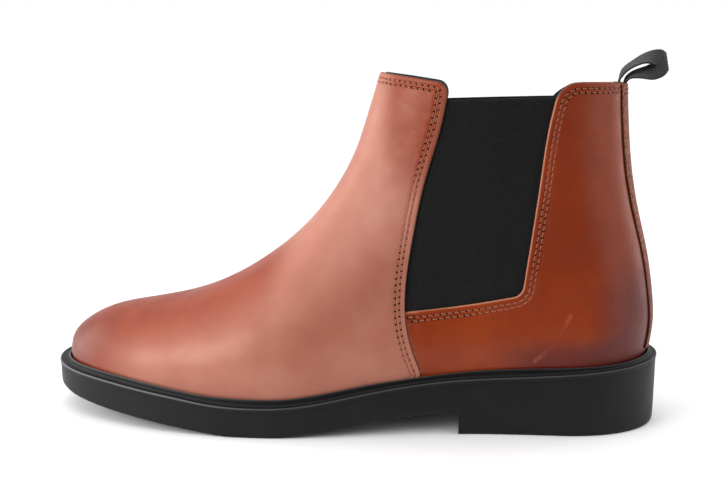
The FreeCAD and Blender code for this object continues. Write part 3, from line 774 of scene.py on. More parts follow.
def leather_fields(points, d):
    """Where the leather is burnished, scratched or lighter at a raw edge, where it is darker along its free
    edges, and where highlights are painted on: a pale sheen over the vamp and a light band along the vamp's
    rear edge; d is the distance from its free edge.
    """
    x, y, z = np.asarray(points).T
    toe = 1 - smooth(np.sqrt(((x + 152) / 52) ** 2 + ((z - 34) / 26) ** 2 + (y / 70) ** 2) / 1.25)
    heel = 1 - smooth(np.sqrt(((x - 138) / 30) ** 2 + ((z - 57) / 40) ** 2) / 1.15)
    low = 0.9 * (1 - smooth((z - feather(x) - 3) / 15)) * smooth((x - 55) / 40)
    (x0, z0), (dx, dz) = SCRATCH_START, SCRATCH_RUN
    t = np.clip(((x - x0) * dx + (z - z0) * dz) / (dx ** 2 + dz ** 2), 0, 1)
    away = np.hypot(x - x0 - dx * t - 2.2 * np.sin(math.pi * t), z - z0 - dz * t)
    scratch = bell(away, 0.7) * np.sin(math.pi * t) ** 0.5 * (y < 0)
    behind = x - vamp_x(z)
    front_edge = (behind > 20) * (1 - smooth((z - 158) / 4))
    front_edge = front_edge + 0.6 * (behind > 1) * (behind <= 20) * (z > 55) * (z < 70)
    # lighter band along the edges: on the quarters' front edge it is the leather's lighter raw edge with a
    # painted highlight on it; along the vamp's rear edge (next line) it is a painted highlight only
    raw_edge_and_highlight = 0.8 * (1 - smooth((d - 0.25) / 0.4)) * front_edge
    raw_edge_and_highlight = raw_edge_and_highlight + 0.3 * bell(d - 0.6, 0.5) * (np.abs(behind) < 6) * (z < 165)
    edge = (1 - smooth((d - 0.1) / 0.4)) * (1 - front_edge)
    # painted highlight: a light pinkish sheen over the vamp's flank, less over the crown of the toe, the
    # toe itself and the far front
    painted_sheen = (1 - smooth((behind + 1) / 2)) * (1 - smooth((z - 100) / 40) * smooth((x - 8) / 14))
    crown = (1 - smooth((look_up(x, line_x, line_z) - z) / 28)) * (1 - smooth((x + 50) / 30))
    painted_sheen = painted_sheen * (1 - crown) * (1 - toe) * (1 - 0.5 * smooth((-90 - x) / 40))
    return dict(toe=toe, heel=np.clip(heel + low, 0, 1), scratch=scratch, raw_edge_and_highlight=np.clip(raw_edge_and_highlight, 0, 1),
                edge=edge, painted_sheen=painted_sheen)


def undulation(points):
    """Faint unevenness that all leather has."""
    x, y, z = points.T
    wide = np.sin(x / 17 + z / 23) * np.sin(y / 19 + z / 31 + 1.3) + np.sin(z / 13 - x / 29 + 0.7)
    fine = np.sin(x / 5.1 + 1.7 * np.sin(z / 7)) * np.sin(z / 4.3 + y / 6.1)
    return 0.10 * wide + 0.03 * fine


def crease(points, start, end, bow, width, depth, side):
    """A soft fold along a bowed line of the side view, deepest in its middle."""
    x, y, z = points.T
    ax, az = end[0] - start[0], end[1] - start[1]
    size = math.hypot(ax, az)
    t = ((x - start[0]) * ax + (z - start[1]) * az) / size ** 2
    off = ((x - start[0]) * az - (z - start[1]) * ax) / size
    off = off - bow * np.sin(math.pi * np.clip(t, 0, 1))
    fade = np.sin(math.pi * np.clip(t, 0, 1)) ** 0.7 * (y * side > 0)
    return depth * fade * (0.6 * bell(off - 1.6 * width, width) - bell(off, width))


CREASES = [((18, 160), (42, 152), 3.0, 1.1, 0.22), ((20, 150), (41, 144), -2.0, 1.3, 0.16),
           ((26, 165), (41, 160), 1.5, 0.9, 0.14)]
BACK_CREASES = [((112, 150), (120, 160), 1.0, 0.9, 0.2), ((110, 144), (121, 153), 1.5, 1.1, 0.16)]


def leather_shape(creases, lapped=False):
    """Height of the leather's face: rounded edge, pressed rows with needle holes, creases. A
    lapped piece dips where it passes under the vamp."""
    def shape(points, d, phases):
        edge = np.where(d < 0.8, -0.5 * (1 - d / 0.8) ** 2, 0)
        swell = 0.07 * bell(d - 1.5, 0.8) + 0.09 * bell(d - 3.8, 0.5) + 0.05 * bell(d - 6.2, 0.8)
        rows = np.zeros(len(d))
        for depth, phase in zip(ROWS, phases):
            pull = 0.5 + 0.5 * np.cos(2 * math.pi * phase)
            rows -= 0.17 * bell(d - depth, 0.4) + 0.14 * pull ** 3 * bell(d - depth, 0.32)
        h = edge + swell * (d < 50) + rows + undulation(points) * smooth(d / 6)
        for fold in creases:
            for side in (-1, 1):
                h = h + crease(points, *fold, side)
        if lapped:
            q = points[:, 0] - vamp_x(points[:, 2])
            near = points[:, 2] < 75
            h = h - near * (0.95 * (1 - smooth(q / 9)) + 0.5 * smooth(-q / 0.8))
        return h
    return shape


def ride(thing, slot, *stands_for):
    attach(thing, "root")
    if stands_for:
        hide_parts(*stands_for)


def tube_rings(centre, tangent, up, radius, sides=8, flat=1.0):
    """Rings of points round centre lines; all arrays are (tubes, stations, 3)."""
    across = unit(np.cross(tangent, up))
    angle = np.arange(sides) * 2 * math.pi / sides
    circle = (np.cos(angle)[:, None] * across[..., None, :] * radius[..., None, None]
              + np.sin(angle)[:, None] * up[..., None, :] * radius[..., None, None] * flat)
    return centre[..., None, :] + circle


def tubes_mesh(name, rings, material):
    """Closed tubes from rings of points (tubes, stations, sides, 3)."""
    tubes, stations, sides, _ = rings.shape
    single = grid_faces(stations, sides, closed=True)
    shift = (np.arange(tubes) * stations * sides)[:, None, None]
    faces = [(single[None] + shift).reshape(-1, 4)[:, ::-1]]
    tips = np.stack((rings[:, 0].mean(1), rings[:, -1].mean(1)), 1).reshape(-1, 3)
    k, tip = np.arange(sides), tubes * stations * sides + 2 * np.arange(tubes)[:, None]
    for end, (a, b) in enumerate(((k, (k + 1) % sides), ((k + 1) % sides, k))):
        cap = vec(a, b, 0) + end * (stations - 1) * sides + shift
        cap[..., 2] = tip + end
        faces.append(cap.reshape(-1, 3))
    return mesh_object(name, np.concatenate((rings.reshape(-1, 3), tips)), faces, material, sharp=80)


def row_frame(place, base):
    """Centre line, normals and lengths of a row of stitches on the skin."""
    ground, n = ring_point(*place.T), normal(*place.T)
    return ground + n * base, n, lengths(ground)


THREAD_RADIUS = 0.27
HOLE_PROFILE = [(-0.24, 0.03), (-0.2, 0.26), (0.01, 0.52), (-0.24, 0.6)]    # (height, radius)


def stitch_parts(line, up, run, shift, start, stop, seed):
    """Rings of the threads and the needle holes of one row; the holes are dark discs of painted shade."""
    holes = (np.arange(math.ceil(start / PITCH), stop / PITCH - shift) + shift) * PITCH
    wobble = np.random.default_rng(seed).normal(0, 0.05, len(holes))

    def place(at):
        spot, n = [np.stack([np.interp(at, run, column) for column in values.T], -1)
                   for values in (line, up)]
        return spot, unit(n)

    t = np.linspace(0, 1, 11)
    centre, n = place(holes[:-1, None] + t * PITCH)
    across = np.cross(unit(np.gradient(centre, axis=1)), n)
    arch = smooth((0.44 - np.abs(t - 0.5)) / 0.16)
    lean = (t - 0.5) * 0.34 + wobble[:-1, None]
    centre = centre + n * (-0.5 + 0.52 * arch)[None, :, None] + across * lean[..., None]
    tangent = unit(np.gradient(centre, axis=1))
    n = unit(n - tangent * (n * tangent).sum(-1, keepdims=True))
    threads = tube_rings(centre, tangent, n, np.full(centre.shape[:2], THREAD_RADIUS), 8, 0.8)
    spot, n = place(holes)
    tangent = unit(place(holes + 0.2)[0] - spot)
    depth, size = np.array(HOLE_PROFILE).T
    centre = spot[:, None] + n[:, None] * depth[None, :, None]
    ups = np.broadcast_to(n[:, None], centre.shape)
    tangents = np.broadcast_to(tangent[:, None], centre.shape)
    pits = tube_rings(centre, ups, tangents, np.broadcast_to(size, centre.shape[:2]), 10)
    return threads, pits


def sew(name, rows, base=0.0, slot="upper_leather", start=1.0):
    """Threads and needle holes along rows, each an array of (ring, angle); the holes are dark discs of
    painted shade.
    """
    threads, pits = [], []
    for k, place in enumerate(rows):
        line, n, run = row_frame(place, base)
        a, b = stitch_parts(line, n, run, ROW_SHIFT[k], start, run[-1] - 0.5, k)
        threads.append(a)
        pits.append(b)
    ride(tubes_mesh(name + "_stitches", np.concatenate(threads), THREAD), slot)
    ride(tubes_mesh(name + "_needle_hole_shades", np.concatenate(pits), HOLE_SHADE), slot)


def leather(name, trim, closing, side, shape):
    """A leather panel with its stitches."""
    piece, rows = panel(name, trim, closing, side, LEATHER_SET, shape)
    ride(piece, "upper_leather", name)
    sew(name, rows)


vamp_edge = vamp_trim()
sole_line = np.linspace(vamp_edge[-1, 1], vamp_edge[0, 1], 240)[1:-1]
vamp_closing = vec(LASTED, sole_line)
leather("vamp", vamp_edge, vamp_closing, 1, leather_shape(CREASES))
for name, side in SIDES:
    trim = quarter_trim(side)
    leather("quarter_" + name, trim, quarter_closing(side, trim), -side,
            leather_shape(BACK_CREASES, lapped=True))


# ---------------------------------------------------------------- elastic gussets

def side_height(x, z, side):
    """y of the skin on one side of the boot."""
    return axis_y(x) + side * half_width(x, z, side)


def side_point(x, z, side, offset):
    """Skin point over (x, z), moved out by offset."""
    y = side_height(x, z, side)
    by_x = (side_height(x + 0.2, z, side) - side_height(x - 0.2, z, side)) / 0.4
    by_z = (side_height(x, z + 0.2, side) - side_height(x, z - 0.2, side)) / 0.4
    return vec(x, y, z) + unit(vec(-by_x, 1.0, -by_z)) * side * np.asarray(offset)[..., None]


def two_layers(first, second):
    return np.concatenate((first.reshape(-1, 3), second.reshape(-1, 3)))


def shell_faces(rows, columns):
    """Closed skin between two grids of the same size, the second one below the first."""
    total = rows * columns
    front = grid_faces(rows, columns)
    return [front, front[:, ::-1] + total, edge_walls(rim_edges([front]), total)]


RIB = 0.78                          # pitch of the elastic's ribs
GUSSET_DEPTH = 104.0
UNDERLAY = 5.0                      # how far the elastic reaches in behind the leather
quarter_front = smooth_path([(93.6, 161.0)] + QUARTER_EDGE + [(80.6, 69), (79.5, 55)])
below_top = np.concatenate(([0.0, 0.05, 0.15, 0.3], np.arange(0.45, GUSSET_DEPTH, RIB / 7)))[::-1, None]
for name, side in SIDES:
    z_front, z_rear = GUSSET_TOP[0] - below_top, GUSSET_TOP[1] - below_top
    front = vamp_x(z_front) - UNDERLAY
    rear = np.interp(z_rear, quarter_front[::-1, 1], quarter_front[::-1, 0]) + UNDERLAY
    share = np.linspace(0, 1, 46)
    x = front + (rear - front) * share
    z = z_front + (z_rear - z_front) * share
    rib = np.abs(np.sin(math.pi * (below_top + 0.12 * np.sin(x / 9)) / RIB)) ** 0.8
    face = -0.30 + 0.26 * rib * smooth((below_top - 0.4) / 1.5)
    face = face - 0.3 * bell(below_top, 0.15) + 0.12 * bell(below_top - 0.9, 0.6)
    face = face + 0.18 * np.sin(x / 8 + z / 21) * np.sin(z / 17 + 0.6) * smooth((x - front - 6) / 10)
    skin_z = z
    for _ in range(3):
        skin_z = z - TOP_SLOPE * (side_height(x, skin_z, side) - LATERAL_TOP)
    outer = side_point(x, skin_z, side, DEPTH_MIDDLE + 0.1 + face)
    inner = side_point(x, skin_z, side, np.full(x.shape, DEPTH_MIDDLE - MIDDLE))
    faces = shell_faces(*x.shape)
    if side > 0:
        faces = [f[:, ::-1] for f in faces]
    gusset = mesh_object("gusset_" + name, two_layers(outer, inner), faces, ELASTIC)
    ride(gusset, "elastic", "gusset_" + name)


# ---------------------------------------------------------------- back strip

def strip_angle(ring, width):
    """Angle from the back seam at which the skin is this far from the seam."""
    low, high = np.zeros(ring.shape), np.full(ring.shape, 1.2)
    seam = ring_point(ring, np.full(ring.shape, math.pi))
    for _ in range(24):
        middle = (low + high) / 2
        short = np.linalg.norm(ring_point(ring, math.pi - middle) - seam, axis=-1) < width
        low, high = np.where(short, middle, low), np.where(short, high, middle)
    return low


HALF_STRIP, STRIP_HEIGHT = 13.2, 0.85   # half its width, and its face over the skin
ring = np.linspace(0.35, 9.99, 420)
seam = ring_point(ring, np.full(ring.shape, math.pi))
seam_run = lengths(seam)
ring = np.interp(np.linspace(0, seam_run[-1], 420), seam_run, ring)
across = np.array((-1, -0.99, -0.975, -0.955, -0.93, -0.89, -0.83, -0.75, -0.66, -0.56, -0.45, -0.34,
                   -0.22, -0.11))
across = np.concatenate((across, [0], -across[::-1]))
angle = math.pi + strip_angle(ring, HALF_STRIP)[:, None] * across
rings = np.broadcast_to(ring[:, None], angle.shape)
from_edge = (1 - np.abs(across)) * HALF_STRIP + np.zeros_like(angle)
seam_run = lengths(ring_point(ring, np.full(ring.shape, math.pi)))
from_top = seam_run[-1] - seam_run[:, None]
height = STRIP_HEIGHT - 0.3 * bell(from_edge, 0.3) - 0.5 * bell(from_top, 0.35)
height = height - sum(0.16 * bell(from_top - row, 0.4) for row in ROWS)
outer = skin(rings, angle, height)
inner = skin(rings, angle, np.full(angle.shape, 0.05))
points = two_layers(outer, inner)
fields = leather_fields(points, np.full(len(points), FAR))
fields["edge"] = np.tile(1 - smooth((from_edge.ravel() - 0.1) / 0.25), 2)
strip = mesh_object("back_strip", points, shell_faces(*angle.shape),
                    [STRIP_LEATHER, STRIP_EDGE, LEATHER_SET[2]], kinds=[0, 2, 1], fields=fields)
ride(strip, "back_strip_leather", "back_strip")
strip_rows = []
for row in ROWS:
    ring_at = np.interp(seam_run[-1] - row, seam_run, ring)
    reach = strip_angle(np.array([ring_at]), HALF_STRIP - 0.8)[0]
    angles = math.pi + np.linspace(-reach, reach, 60)
    strip_rows.append(vec(ring_at, angles))
sew("back_strip", strip_rows, STRIP_HEIGHT + 0.04, "back_strip_leather", 0.0)


# ---------------------------------------------------------------- sole

BREAST = 51.0                       # x where the heel begins
TOE_MARGIN, SIDE_MARGIN, HEEL_MARGIN = 6.0, 5.2, 5.0


def margin(x):
    along = (x + 150) / 291.0
    wide = TOE_MARGIN + (SIDE_MARGIN - TOE_MARGIN) * smooth(along / 0.2)
    return wide + (HEEL_MARGIN - SIDE_MARGIN) * smooth((along - 0.55) / 0.25)


def plan(angle):
    """Feather outline and its outward direction in plan."""
    spot = ring_point(0, angle)[..., :2]
    along = (ring_point(0, angle + STEP) - ring_point(0, angle - STEP))[..., :2]
    return spot, unit(vec(-along[..., 1], along[..., 0]))


def plan_ring(distance, angle):
    spot, out = plan(angle)
    return spot + out * np.reshape(distance, (-1, 1))


def joint(x):
    return rim(x) - WELT


fine_angle = np.linspace(-math.pi, math.pi, 2801)
stations = resample(fine_angle[:, None], plan_ring(5.0, fine_angle), 0.9)[:-1, 0]
edge_x = plan_ring(margin(plan(fine_angle)[0][:, 0]), fine_angle)[:, 0]
lateral_half, medial_half = fine_angle < 0, fine_angle >= 0
breast = [np.interp(-x, -edge_x[lateral_half], fine_angle[lateral_half]) for x in (BREAST, BREAST + 0.4)]
breast += [np.interp(x, edge_x[medial_half], fine_angle[medial_half]) for x in (BREAST, BREAST + 0.4)]
gap_to_breast = np.abs(stations[:, None] - np.array(breast)).min(1)
stations = np.sort(np.concatenate((stations[gap_to_breast > 0.006], breast)))
base_spot, base_out = plan(stations)
width = margin(base_spot[:, 0])
outer_x = (base_spot + base_out * width[:, None])[:, 0]
in_heel = outer_x > BREAST + 0.2


def sweep(profile):
    """Rows of points round the boot from (distance, height function of x) pairs."""
    rows = []
    for distance, height in profile:
        spot = base_spot + base_out * np.reshape(distance, (-1, 1))
        rows.append(np.column_stack((spot, height(spot[:, 0]))))
    return np.array(rows)


def inset_row(inset, height):
    """Row of points this far in from the lip."""
    return np.column_stack((base_spot + base_out * (width - inset)[:, None], height))


def over(line, amount):
    return lambda x: line(x) + amount


def between(share):
    return lambda x: rim(x) + (feather(x) - rim(x)) * share


# rows of the welt's section: (distance out, height, lightness of the edge: wear and a painted highlight)
BEAD = [(0.12, -1.9, 0), (0.28, -1.35, 0), (0.55, -0.95, 0.3), (0.95, -0.8, 0.8), (1.3, -0.92, 0.4),
        (1.6, -1.25, 0), (1.76, -1.7, 0), (1.7, -2.05, 0)]
LIP = [(-1.6, -0.12, 0), (-1.1, -0.05, 0), (-0.75, 0.1, 0.2), (-0.42, 0.12, 0.9), (-0.16, -0.04, 1),
       (-0.02, -0.34, 0.5), (0.0, -0.9, 0), (-0.08, -1.3, 0), (-0.34, -1.6, 0), (-0.38, -2.1, 0),
       (-0.38, -2.7, 0)]
WALL_INSET = 0.38                   # the wall's top edge, in from the lip
profile = [(-1.0, over(joint, 0.0)), (0.12, over(rim, -0.6))]
profile += [(d, over(feather, z)) for d, z, _ in BEAD]
profile += [(1.8, between(0.3)), (2.05, between(0.12)), (2.7, over(rim, 0.0))]
profile += [(width + d, over(rim, z)) for d, z, _ in LIP]
profile += [(width - WALL_INSET, over(joint, 0.0))]
# the crests of the bead and the lip are painted lighter, most at the toe: partly wear, partly a painted
# highlight
wear_and_highlight = [0, 0] + [w for _, _, w in BEAD] + [0, 0, 0] + [w for _, _, w in LIP] + [0]
wear_and_highlight = np.array(wear_and_highlight)[:, None] * (0.35 + 0.65 * (1 - smooth((outer_x + 110) / 90)))
welt_rows = sweep(profile)
count = len(stations)
once_round = np.append(np.arange(count), 0)
faces = [grid_faces(len(welt_rows), count, closed=True),
         quads(np.stack((once_round + (len(welt_rows) - 1) * count, once_round)))]
welt = mesh_object("welt", welt_rows.reshape(-1, 3), faces, WELT_RUBBER, sharp=50, fields=dict(wear_and_highlight=wear_and_highlight))
ride(welt, "sole_rubber", "welt")

tread_line, waist_line = spline(BOTTOM), spline(WAIST)


def ground_line(x):
    """Underside of the sole in front of the heel."""
    low = np.where(x < -60, np.maximum(tread_line(x), 0), 0.0)
    return np.where(x > -34, np.maximum(waist_line(x), 0), low)


LEVEL = 12.0                        # height of the waist at the heel breast
TREAD_DROP = 1.5                    # from the wall down to the ground, over a rounded edge
under = np.where(in_heel, LEVEL, ground_line(outer_x))
WALL_FOOT = 0.52                    # the wall's lower edge, in from the lip
wall = list(sweep([(-1.0, over(joint, 0.0)), (width - WALL_INSET, over(joint, 0.0))]))
top_of_wall = wall[1][:, 2]
goal = under + np.where(in_heel, 0, TREAD_DROP)
for share in np.linspace(0, 1, 9)[1:]:
    inset = WALL_INSET + (WALL_FOOT - WALL_INSET) * share
    wall.append(inset_row(inset, top_of_wall + (goal - top_of_wall) * share))
for inset, lift in ((0.62, 0.85), (0.9, 0.36), (1.3, 0.09), (1.9, 0.0)):
    wall.append(inset_row(np.where(in_heel, WALL_FOOT, inset), under + np.where(in_heel, 0, lift)))
front_at = np.flatnonzero(~in_heel)
i1, i2 = front_at[0], front_at[-1]
heel_order = np.concatenate((np.arange(i2 + 1, count), np.arange(0, i1)))
points = [np.concatenate(wall)]
faces = [grid_faces(len(wall), count, closed=True)]
last = (len(wall) - 1) * count
HEEL_ROWS = [(0.54, 9.6), (0.58, 7.2), (0.64, 4.8), (0.7, 3.0), (0.76, 1.9), (0.9, 1.1), (1.15, 0.5),
             (1.55, 0.12), (2.1, 0.0)]      # (inset, z)
heel_wall = np.array([inset_row(inset, np.full(count, z))[heel_order] for inset, z in HEEL_ROWS])
index = len(points[0]) + np.arange(heel_wall[..., 0].size).reshape(len(HEEL_ROWS), -1)
index = np.concatenate(((last + heel_order)[None], index))
faces.append(quads(index))
points.append(heel_wall.reshape(-1, 3))
# the breast, from the medial side (column 0) to the lateral side
share = np.linspace(0, 1, 65)[1:-1]
everything = np.concatenate(points)
left, right = everything[index[:, 0]], everything[index[:, -1]]
inset = np.array([WALL_FOOT] + [d for d, _ in HEEL_ROWS]) - WALL_FOOT
face = left[:, None] + (right - left)[:, None] * share[None, :, None]
hollow = 1.6 * (1 - (2 * share - 1) ** 2)
soften = smooth(np.minimum(share, 1 - share) / 0.04)
face[..., 0] += hollow * 0.8 + inset[:, None] * soften
inner_index = len(everything) + np.arange(face[..., 0].size).reshape(len(index), -1)
columns = np.concatenate((index[:, :1], inner_index, index[:, -1:]), 1)
faces.append(quads(columns)[:, [1, 0, 3, 2]])
everything = np.concatenate((everything, face.reshape(-1, 3)))


def tread(x, y, edge):
    """Depth of a plain zigzag tread inside a smooth border."""
    fold = np.abs((y / 15.0) % 2 - 1) * 7
    wave = np.sin(2 * math.pi * (x + fold) / 7.5)
    return 1.3 * smooth((wave + 0.15) / 0.6) * smooth((edge - 6.5) / 0.9)


def front_tread(x, y, edge):
    """The tread of the forepart, and the slightly hollow waist behind it."""
    hollow = 0.6 * smooth((edge - 5) / 9) * smooth((x + 20) / 20)
    return tread(x, y, edge) * (1 - smooth((x + 42) / 6)) + hollow


def flat(x, *_):
    return 0 * x


# covers over borders of points that are there already: the front, the heel and the top, which
# faces up
front_border = np.concatenate((last + np.arange(i1, i2 + 1), columns[0]))
heel_border = np.concatenate((index[-1], columns[-1][::-1][1:-1]))
for border, height, pattern, spacing, turn in ((front_border, ground_line, front_tread, 1.0, -1),
                                               (heel_border, flat, tread, 1.0, -1),
                                               (np.arange(count), joint, flat, 6.0, 1)):
    extra, edge, triangles = fill_grid(everything[border][:, :2], spacing, 0.6)
    x, y = extra.T
    lookup = np.concatenate((border, len(everything) + np.arange(len(extra))))
    everything = np.concatenate((everything, vec(x, y, height(x) + pattern(x, y, edge))))
    faces.append(lookup[triangles][:, ::turn])
outsole = mesh_object("outsole", everything, faces, RUBBER, sharp=40)
ride(outsole, "sole_rubber", "outsole")


# ---------------------------------------------------------------- pull loop

# stations along the loop, from the front tail over the far fold to the rear tail:
# the medial and the lateral edge of the webbing
LOOP_EDGES = [
    ((126.7, 6.5, 162.5), (124.2, -6.4, 162.0)),
    ((126.4, 6.7, 165.8), (124.1, -6.2, 164.6)),
    ((126.5, 7.0, 168.3), (124.3, -6.0, 166.7)),
    ((127.1, 7.3, 170.9), (125.5, -5.7, 168.6)),
    ((128.6, 7.6, 173.1), (127.1, -5.3, 170.5)),
    ((131.2, 7.9, 175.1), (129.4, -5.0, 172.4)),
    ((133.9, 8.2, 177.0), (132.0, -4.6, 173.8)),
    ((136.6, 8.4, 178.7), (134.7, -4.2, 174.8)),
    ((139.2, 8.5, 180.0), (137.5, -3.7, 175.2)),
    ((141.6, 8.3, 180.9), (140.1, -3.0, 174.6)),
    ((143.8, 7.8, 181.3), (142.8, -2.3, 173.2)),
    ((145.8, 7.1, 181.2), (145.2, -2.6, 172.1)),
    ((147.0, 6.0, 180.6), (146.8, -4.2, 171.9)),
    ((147.1, 4.4, 180.0), (146.9, -6.2, 171.7)),
    ((146.1, 2.8, 179.6), (146.0, -7.2, 170.5)),
    ((144.6, 2.0, 178.9), (143.9, -7.5, 168.9)),
    ((143.0, 2.0, 177.4), (141.3, -7.8, 167.9)),
    ((141.2, 2.7, 175.4), (138.7, -8.1, 167.7)),
    ((138.8, 3.7, 173.8), (136.0, -8.2, 168.1)),
    ((136.2, 4.6, 172.7), (133.2, -7.8, 168.4)),
    ((133.5, 5.3, 171.6), (130.9, -7.5, 168.4)),
    ((131.1, 5.8, 170.2), (129.0, -7.1, 167.9)),
    ((129.3, 6.2, 168.3), (127.8, -6.8, 166.6)),
    ((128.5, 6.4, 165.9), (127.2, -6.6, 164.6)),
    ((128.0, 6.4, 162.6), (126.9, -6.5, 162.0)),
]
RIBBON = 0.9                        # thickness of the webbing
CHEVRON = 1.3                       # width of one rib of its herringbone
edges = np.array(LOOP_EDGES)
middle = edges.mean(1)
knots = lengths(middle)
at = np.linspace(0, knots[-1], 260)
medial_edge, lateral_edge = [np.stack([spline(list(zip(knots, edges[:, e, k])))(at) for k in range(3)], -1)
                             for e in (0, 1)]
centre = (medial_edge + lateral_edge) / 2
half = (medial_edge - lateral_edge) / 2
tangent = unit(np.gradient(centre, axis=0))
out = unit(np.cross(tangent, half))
v = np.linspace(-1, 1, 41)
cross = v * np.linalg.norm(half, axis=1).mean()
grain = np.abs(np.sin(math.pi * (at[:, None] + 0.55 * np.abs((cross / CHEVRON) % 2 - 1)) / 0.9)) ** 0.7
relief = 0.10 * grain + 0.05 * np.cos(cross * 2 * math.pi / CHEVRON)
thick = RIBBON / 2 * (1 - 0.55 * bell(1 - np.abs(v), 0.035)) - 0.1 + relief
flat_ribbon = centre[:, None] + half[:, None] * v[None, :, None]
lift = out[:, None] * thick[..., None]
loop = mesh_object("pull_loop", two_layers(flat_ribbon + lift, flat_ribbon - lift),
                   [f[:, ::-1] for f in shell_faces(*thick.shape)], WEBBING, sharp=60)
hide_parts("pull_loop", "pull_loop_anchor")
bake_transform(loop)


# ---------------------------------------------------------------- linings, heel grip, sock, heel pad

LINING_RISE, QUARTER_LINING_RISE = 0.8, -0.1    # over the top edge of the leather


def lining_shape(points, d, phases):
    x, _, z = points.T
    wrinkle = 0.16 * np.sin(z / 6 + 2 * np.sin(x / 15)) * smooth(d / 12)
    return np.where(d < 0.4, -0.25 * (1 - d / 0.4) ** 2, 0) - 0.12 * bell(d - 2.2, 0.4) + wrinkle


LINING_DEPTHS = [0, 0.12, 0.35, 0.7, 1.3, 1.9, 2.2, 2.5, 3.2]


def lining(name, trim, closing, side):
    piece, _ = panel(name, trim, closing, side, CLOTH, lining_shape, DEPTH_LINING, LINING, 2.6, 1.0, (),
                     LINING_DEPTHS)
    ride(piece, "lining", name)


lining("vamp_lining", vamp_trim(LINING_RISE, 0.5), vamp_closing, 1)
for name, side in SIDES:
    trim = quarter_trim(side, QUARTER_LINING_RISE, -0.5)
    lining("quarter_lining_" + name, trim, quarter_closing(side, trim, -0.5), -side)

GRIP_TIP = (113, 133.2)             # where its front and its top edge would meet
grip_side = smooth_path([(98, 45), (96, 70), (100, 105), (110, 128)])
grip_arc = corner(grip_side[-1], GRIP_TIP, (122, 134), 4.0)
grip_front = from_side_view(np.concatenate((grip_side[:-2], grip_arc)), 1, 0.0)
grip_back = level(np.linspace(grip_front[-1, 1], math.pi, 40),
                  lambda x: GRIP_TIP[1] + (x - GRIP_TIP[0]) * 0.09, 0.0)
grip_half = np.concatenate((grip_front, grip_back[1:]))
mirrored = grip_half[::-1][1:] * (1, -1) + (0, 2 * math.pi)
trim = np.concatenate((grip_half, mirrored))
grip, _ = panel("heel_grip", trim, np.linspace(trim[-1], trim[0], 60)[1:-1], 1, SUEDE,
                lambda p, d, _: -0.3 * bell(d, 0.4) + 0.1 * np.sin(p[:, 2] / 5) * smooth(d / 8),
                DEPTH_GRIP, GRIP, 2.2, 1.0, (), [0, 0.2, 0.5, 1, 1.8, 3])
ride(grip, "suede", "heel_grip")


def pad(name, border, low, high, rings, crown, material, spacing=2.0):
    """A flat soft piece with a rolled edge. rings are (distance in, share of the height)."""
    along = np.roll(border, -1, 0) - np.roll(border, 1, 0)
    inward = unit(vec(-along[:, 1], along[:, 0]))
    area = 0.5 * (border[:, 0] * np.roll(border[:, 1], -1) - np.roll(border[:, 0], -1) * border[:, 1]).sum()
    inward = inward * np.sign(area)
    points = []
    for distance, share in rings:
        spot = border + inward * distance
        z = low(spot[:, 0]) + (high(spot[:, 0]) - low(spot[:, 0])) * share
        points.append(np.column_stack((spot, z)))
    sides = grid_faces(len(rings), len(border), closed=True)
    extra, edge, triangles = fill_grid(points[-1][:, :2], spacing, spacing * 0.5)
    x, y = extra.T
    points.append(vec(x, y, high(x) + crown(x, y, edge)))
    faces = [sides if area > 0 else sides[:, ::-1], triangles + (len(rings) - 1) * len(border),
             fill(points[0][:, :2], np.zeros((0, 2)))[:, ::-1]]
    return mesh_object(name, np.concatenate(points), faces, material, sharp=70)


inner_angle = np.linspace(-math.pi, math.pi, 1401)


def inner_ring(inset, spacing=1.5):
    at = resample(inner_angle[:, None], plan_ring(-inset, inner_angle), spacing)[:-1, 0]
    return plan_ring(-inset, at)


ROLL = [(0, 0), (0, 0.35), (0.1, 0.6), (0.35, 0.82), (0.8, 0.95), (1.5, 1.0), (2.5, 1.0)]
sock = pad("sock_liner", inner_ring(5.2), over(joint, 2.2), over(joint, 5.2), ROLL,
           lambda x, y, e: -0.25 * smooth(e / 12) + 0.05 * np.sin(x / 6), SOCK)
ride(sock, "sock", "sock_liner")
border = inner_ring(9.8)
border = border[border[:, 0] > 72.5]
border = border[np.argsort(np.arctan2(border[:, 1], border[:, 0] - 105))]
split = np.argmax(np.linalg.norm(border - np.roll(border, 1, 0), axis=1))
border = np.roll(border, -split, 0)
front = np.linspace(border[-1], border[0], 24)[1:-1]
front[:, 0] -= 3.0 * (1 - np.linspace(-1, 1, 22) ** 2)
heel_pad = pad("heel_pad", np.concatenate((border, front)), over(joint, 5.3), over(joint, 6.8), ROLL,
               lambda x, y, e: 0.25 * smooth(e / 10), SOCK)
ride(heel_pad, "foam", "heel_pad")


# ---------------------------------------------------------------- parts inside the build, as in the CAD

HIDDEN = {
    "toe_puff": plain_paint("toe_puff_sheet", rgb(196, 186, 160), rgb(222, 214, 194), 200),
    "heel_counter": plain_paint("counter_sheet", rgb(188, 176, 150), rgb(216, 206, 182), 200),
    "vamp_interlining": plain_paint("interlining_felt", rgb(214, 210, 202), rgb(236, 234, 228), 500),
    "bottom_filler": plain_paint("cork", rgb(120, 84, 48), rgb(182, 138, 92), 350),
    "shank": metal_paint("spring_steel", rgb(150, 150, 154)),
    "shank_rivets": metal_paint("rivet_steel", rgb(164, 160, 150)),
    "heel_nails": metal_paint("nail_steel", rgb(140, 138, 134)),
    "heel_core": plain_paint("core_plastic", rgb(58, 58, 60), rgb(78, 78, 80), 250),
    "heel_seat_board": plain_paint("seat_board", rgb(126, 96, 62), rgb(158, 126, 88), 300),
    "insole_board": plain_paint("insole_board", rgb(168, 140, 104), rgb(196, 170, 134), 300),
}
for node, paint in HIDDEN.items():
    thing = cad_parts[node]
    thing.data.materials.clear()
    thing.data.materials.append(paint)


# ---------------------------------------------------------------- floor, light, camera

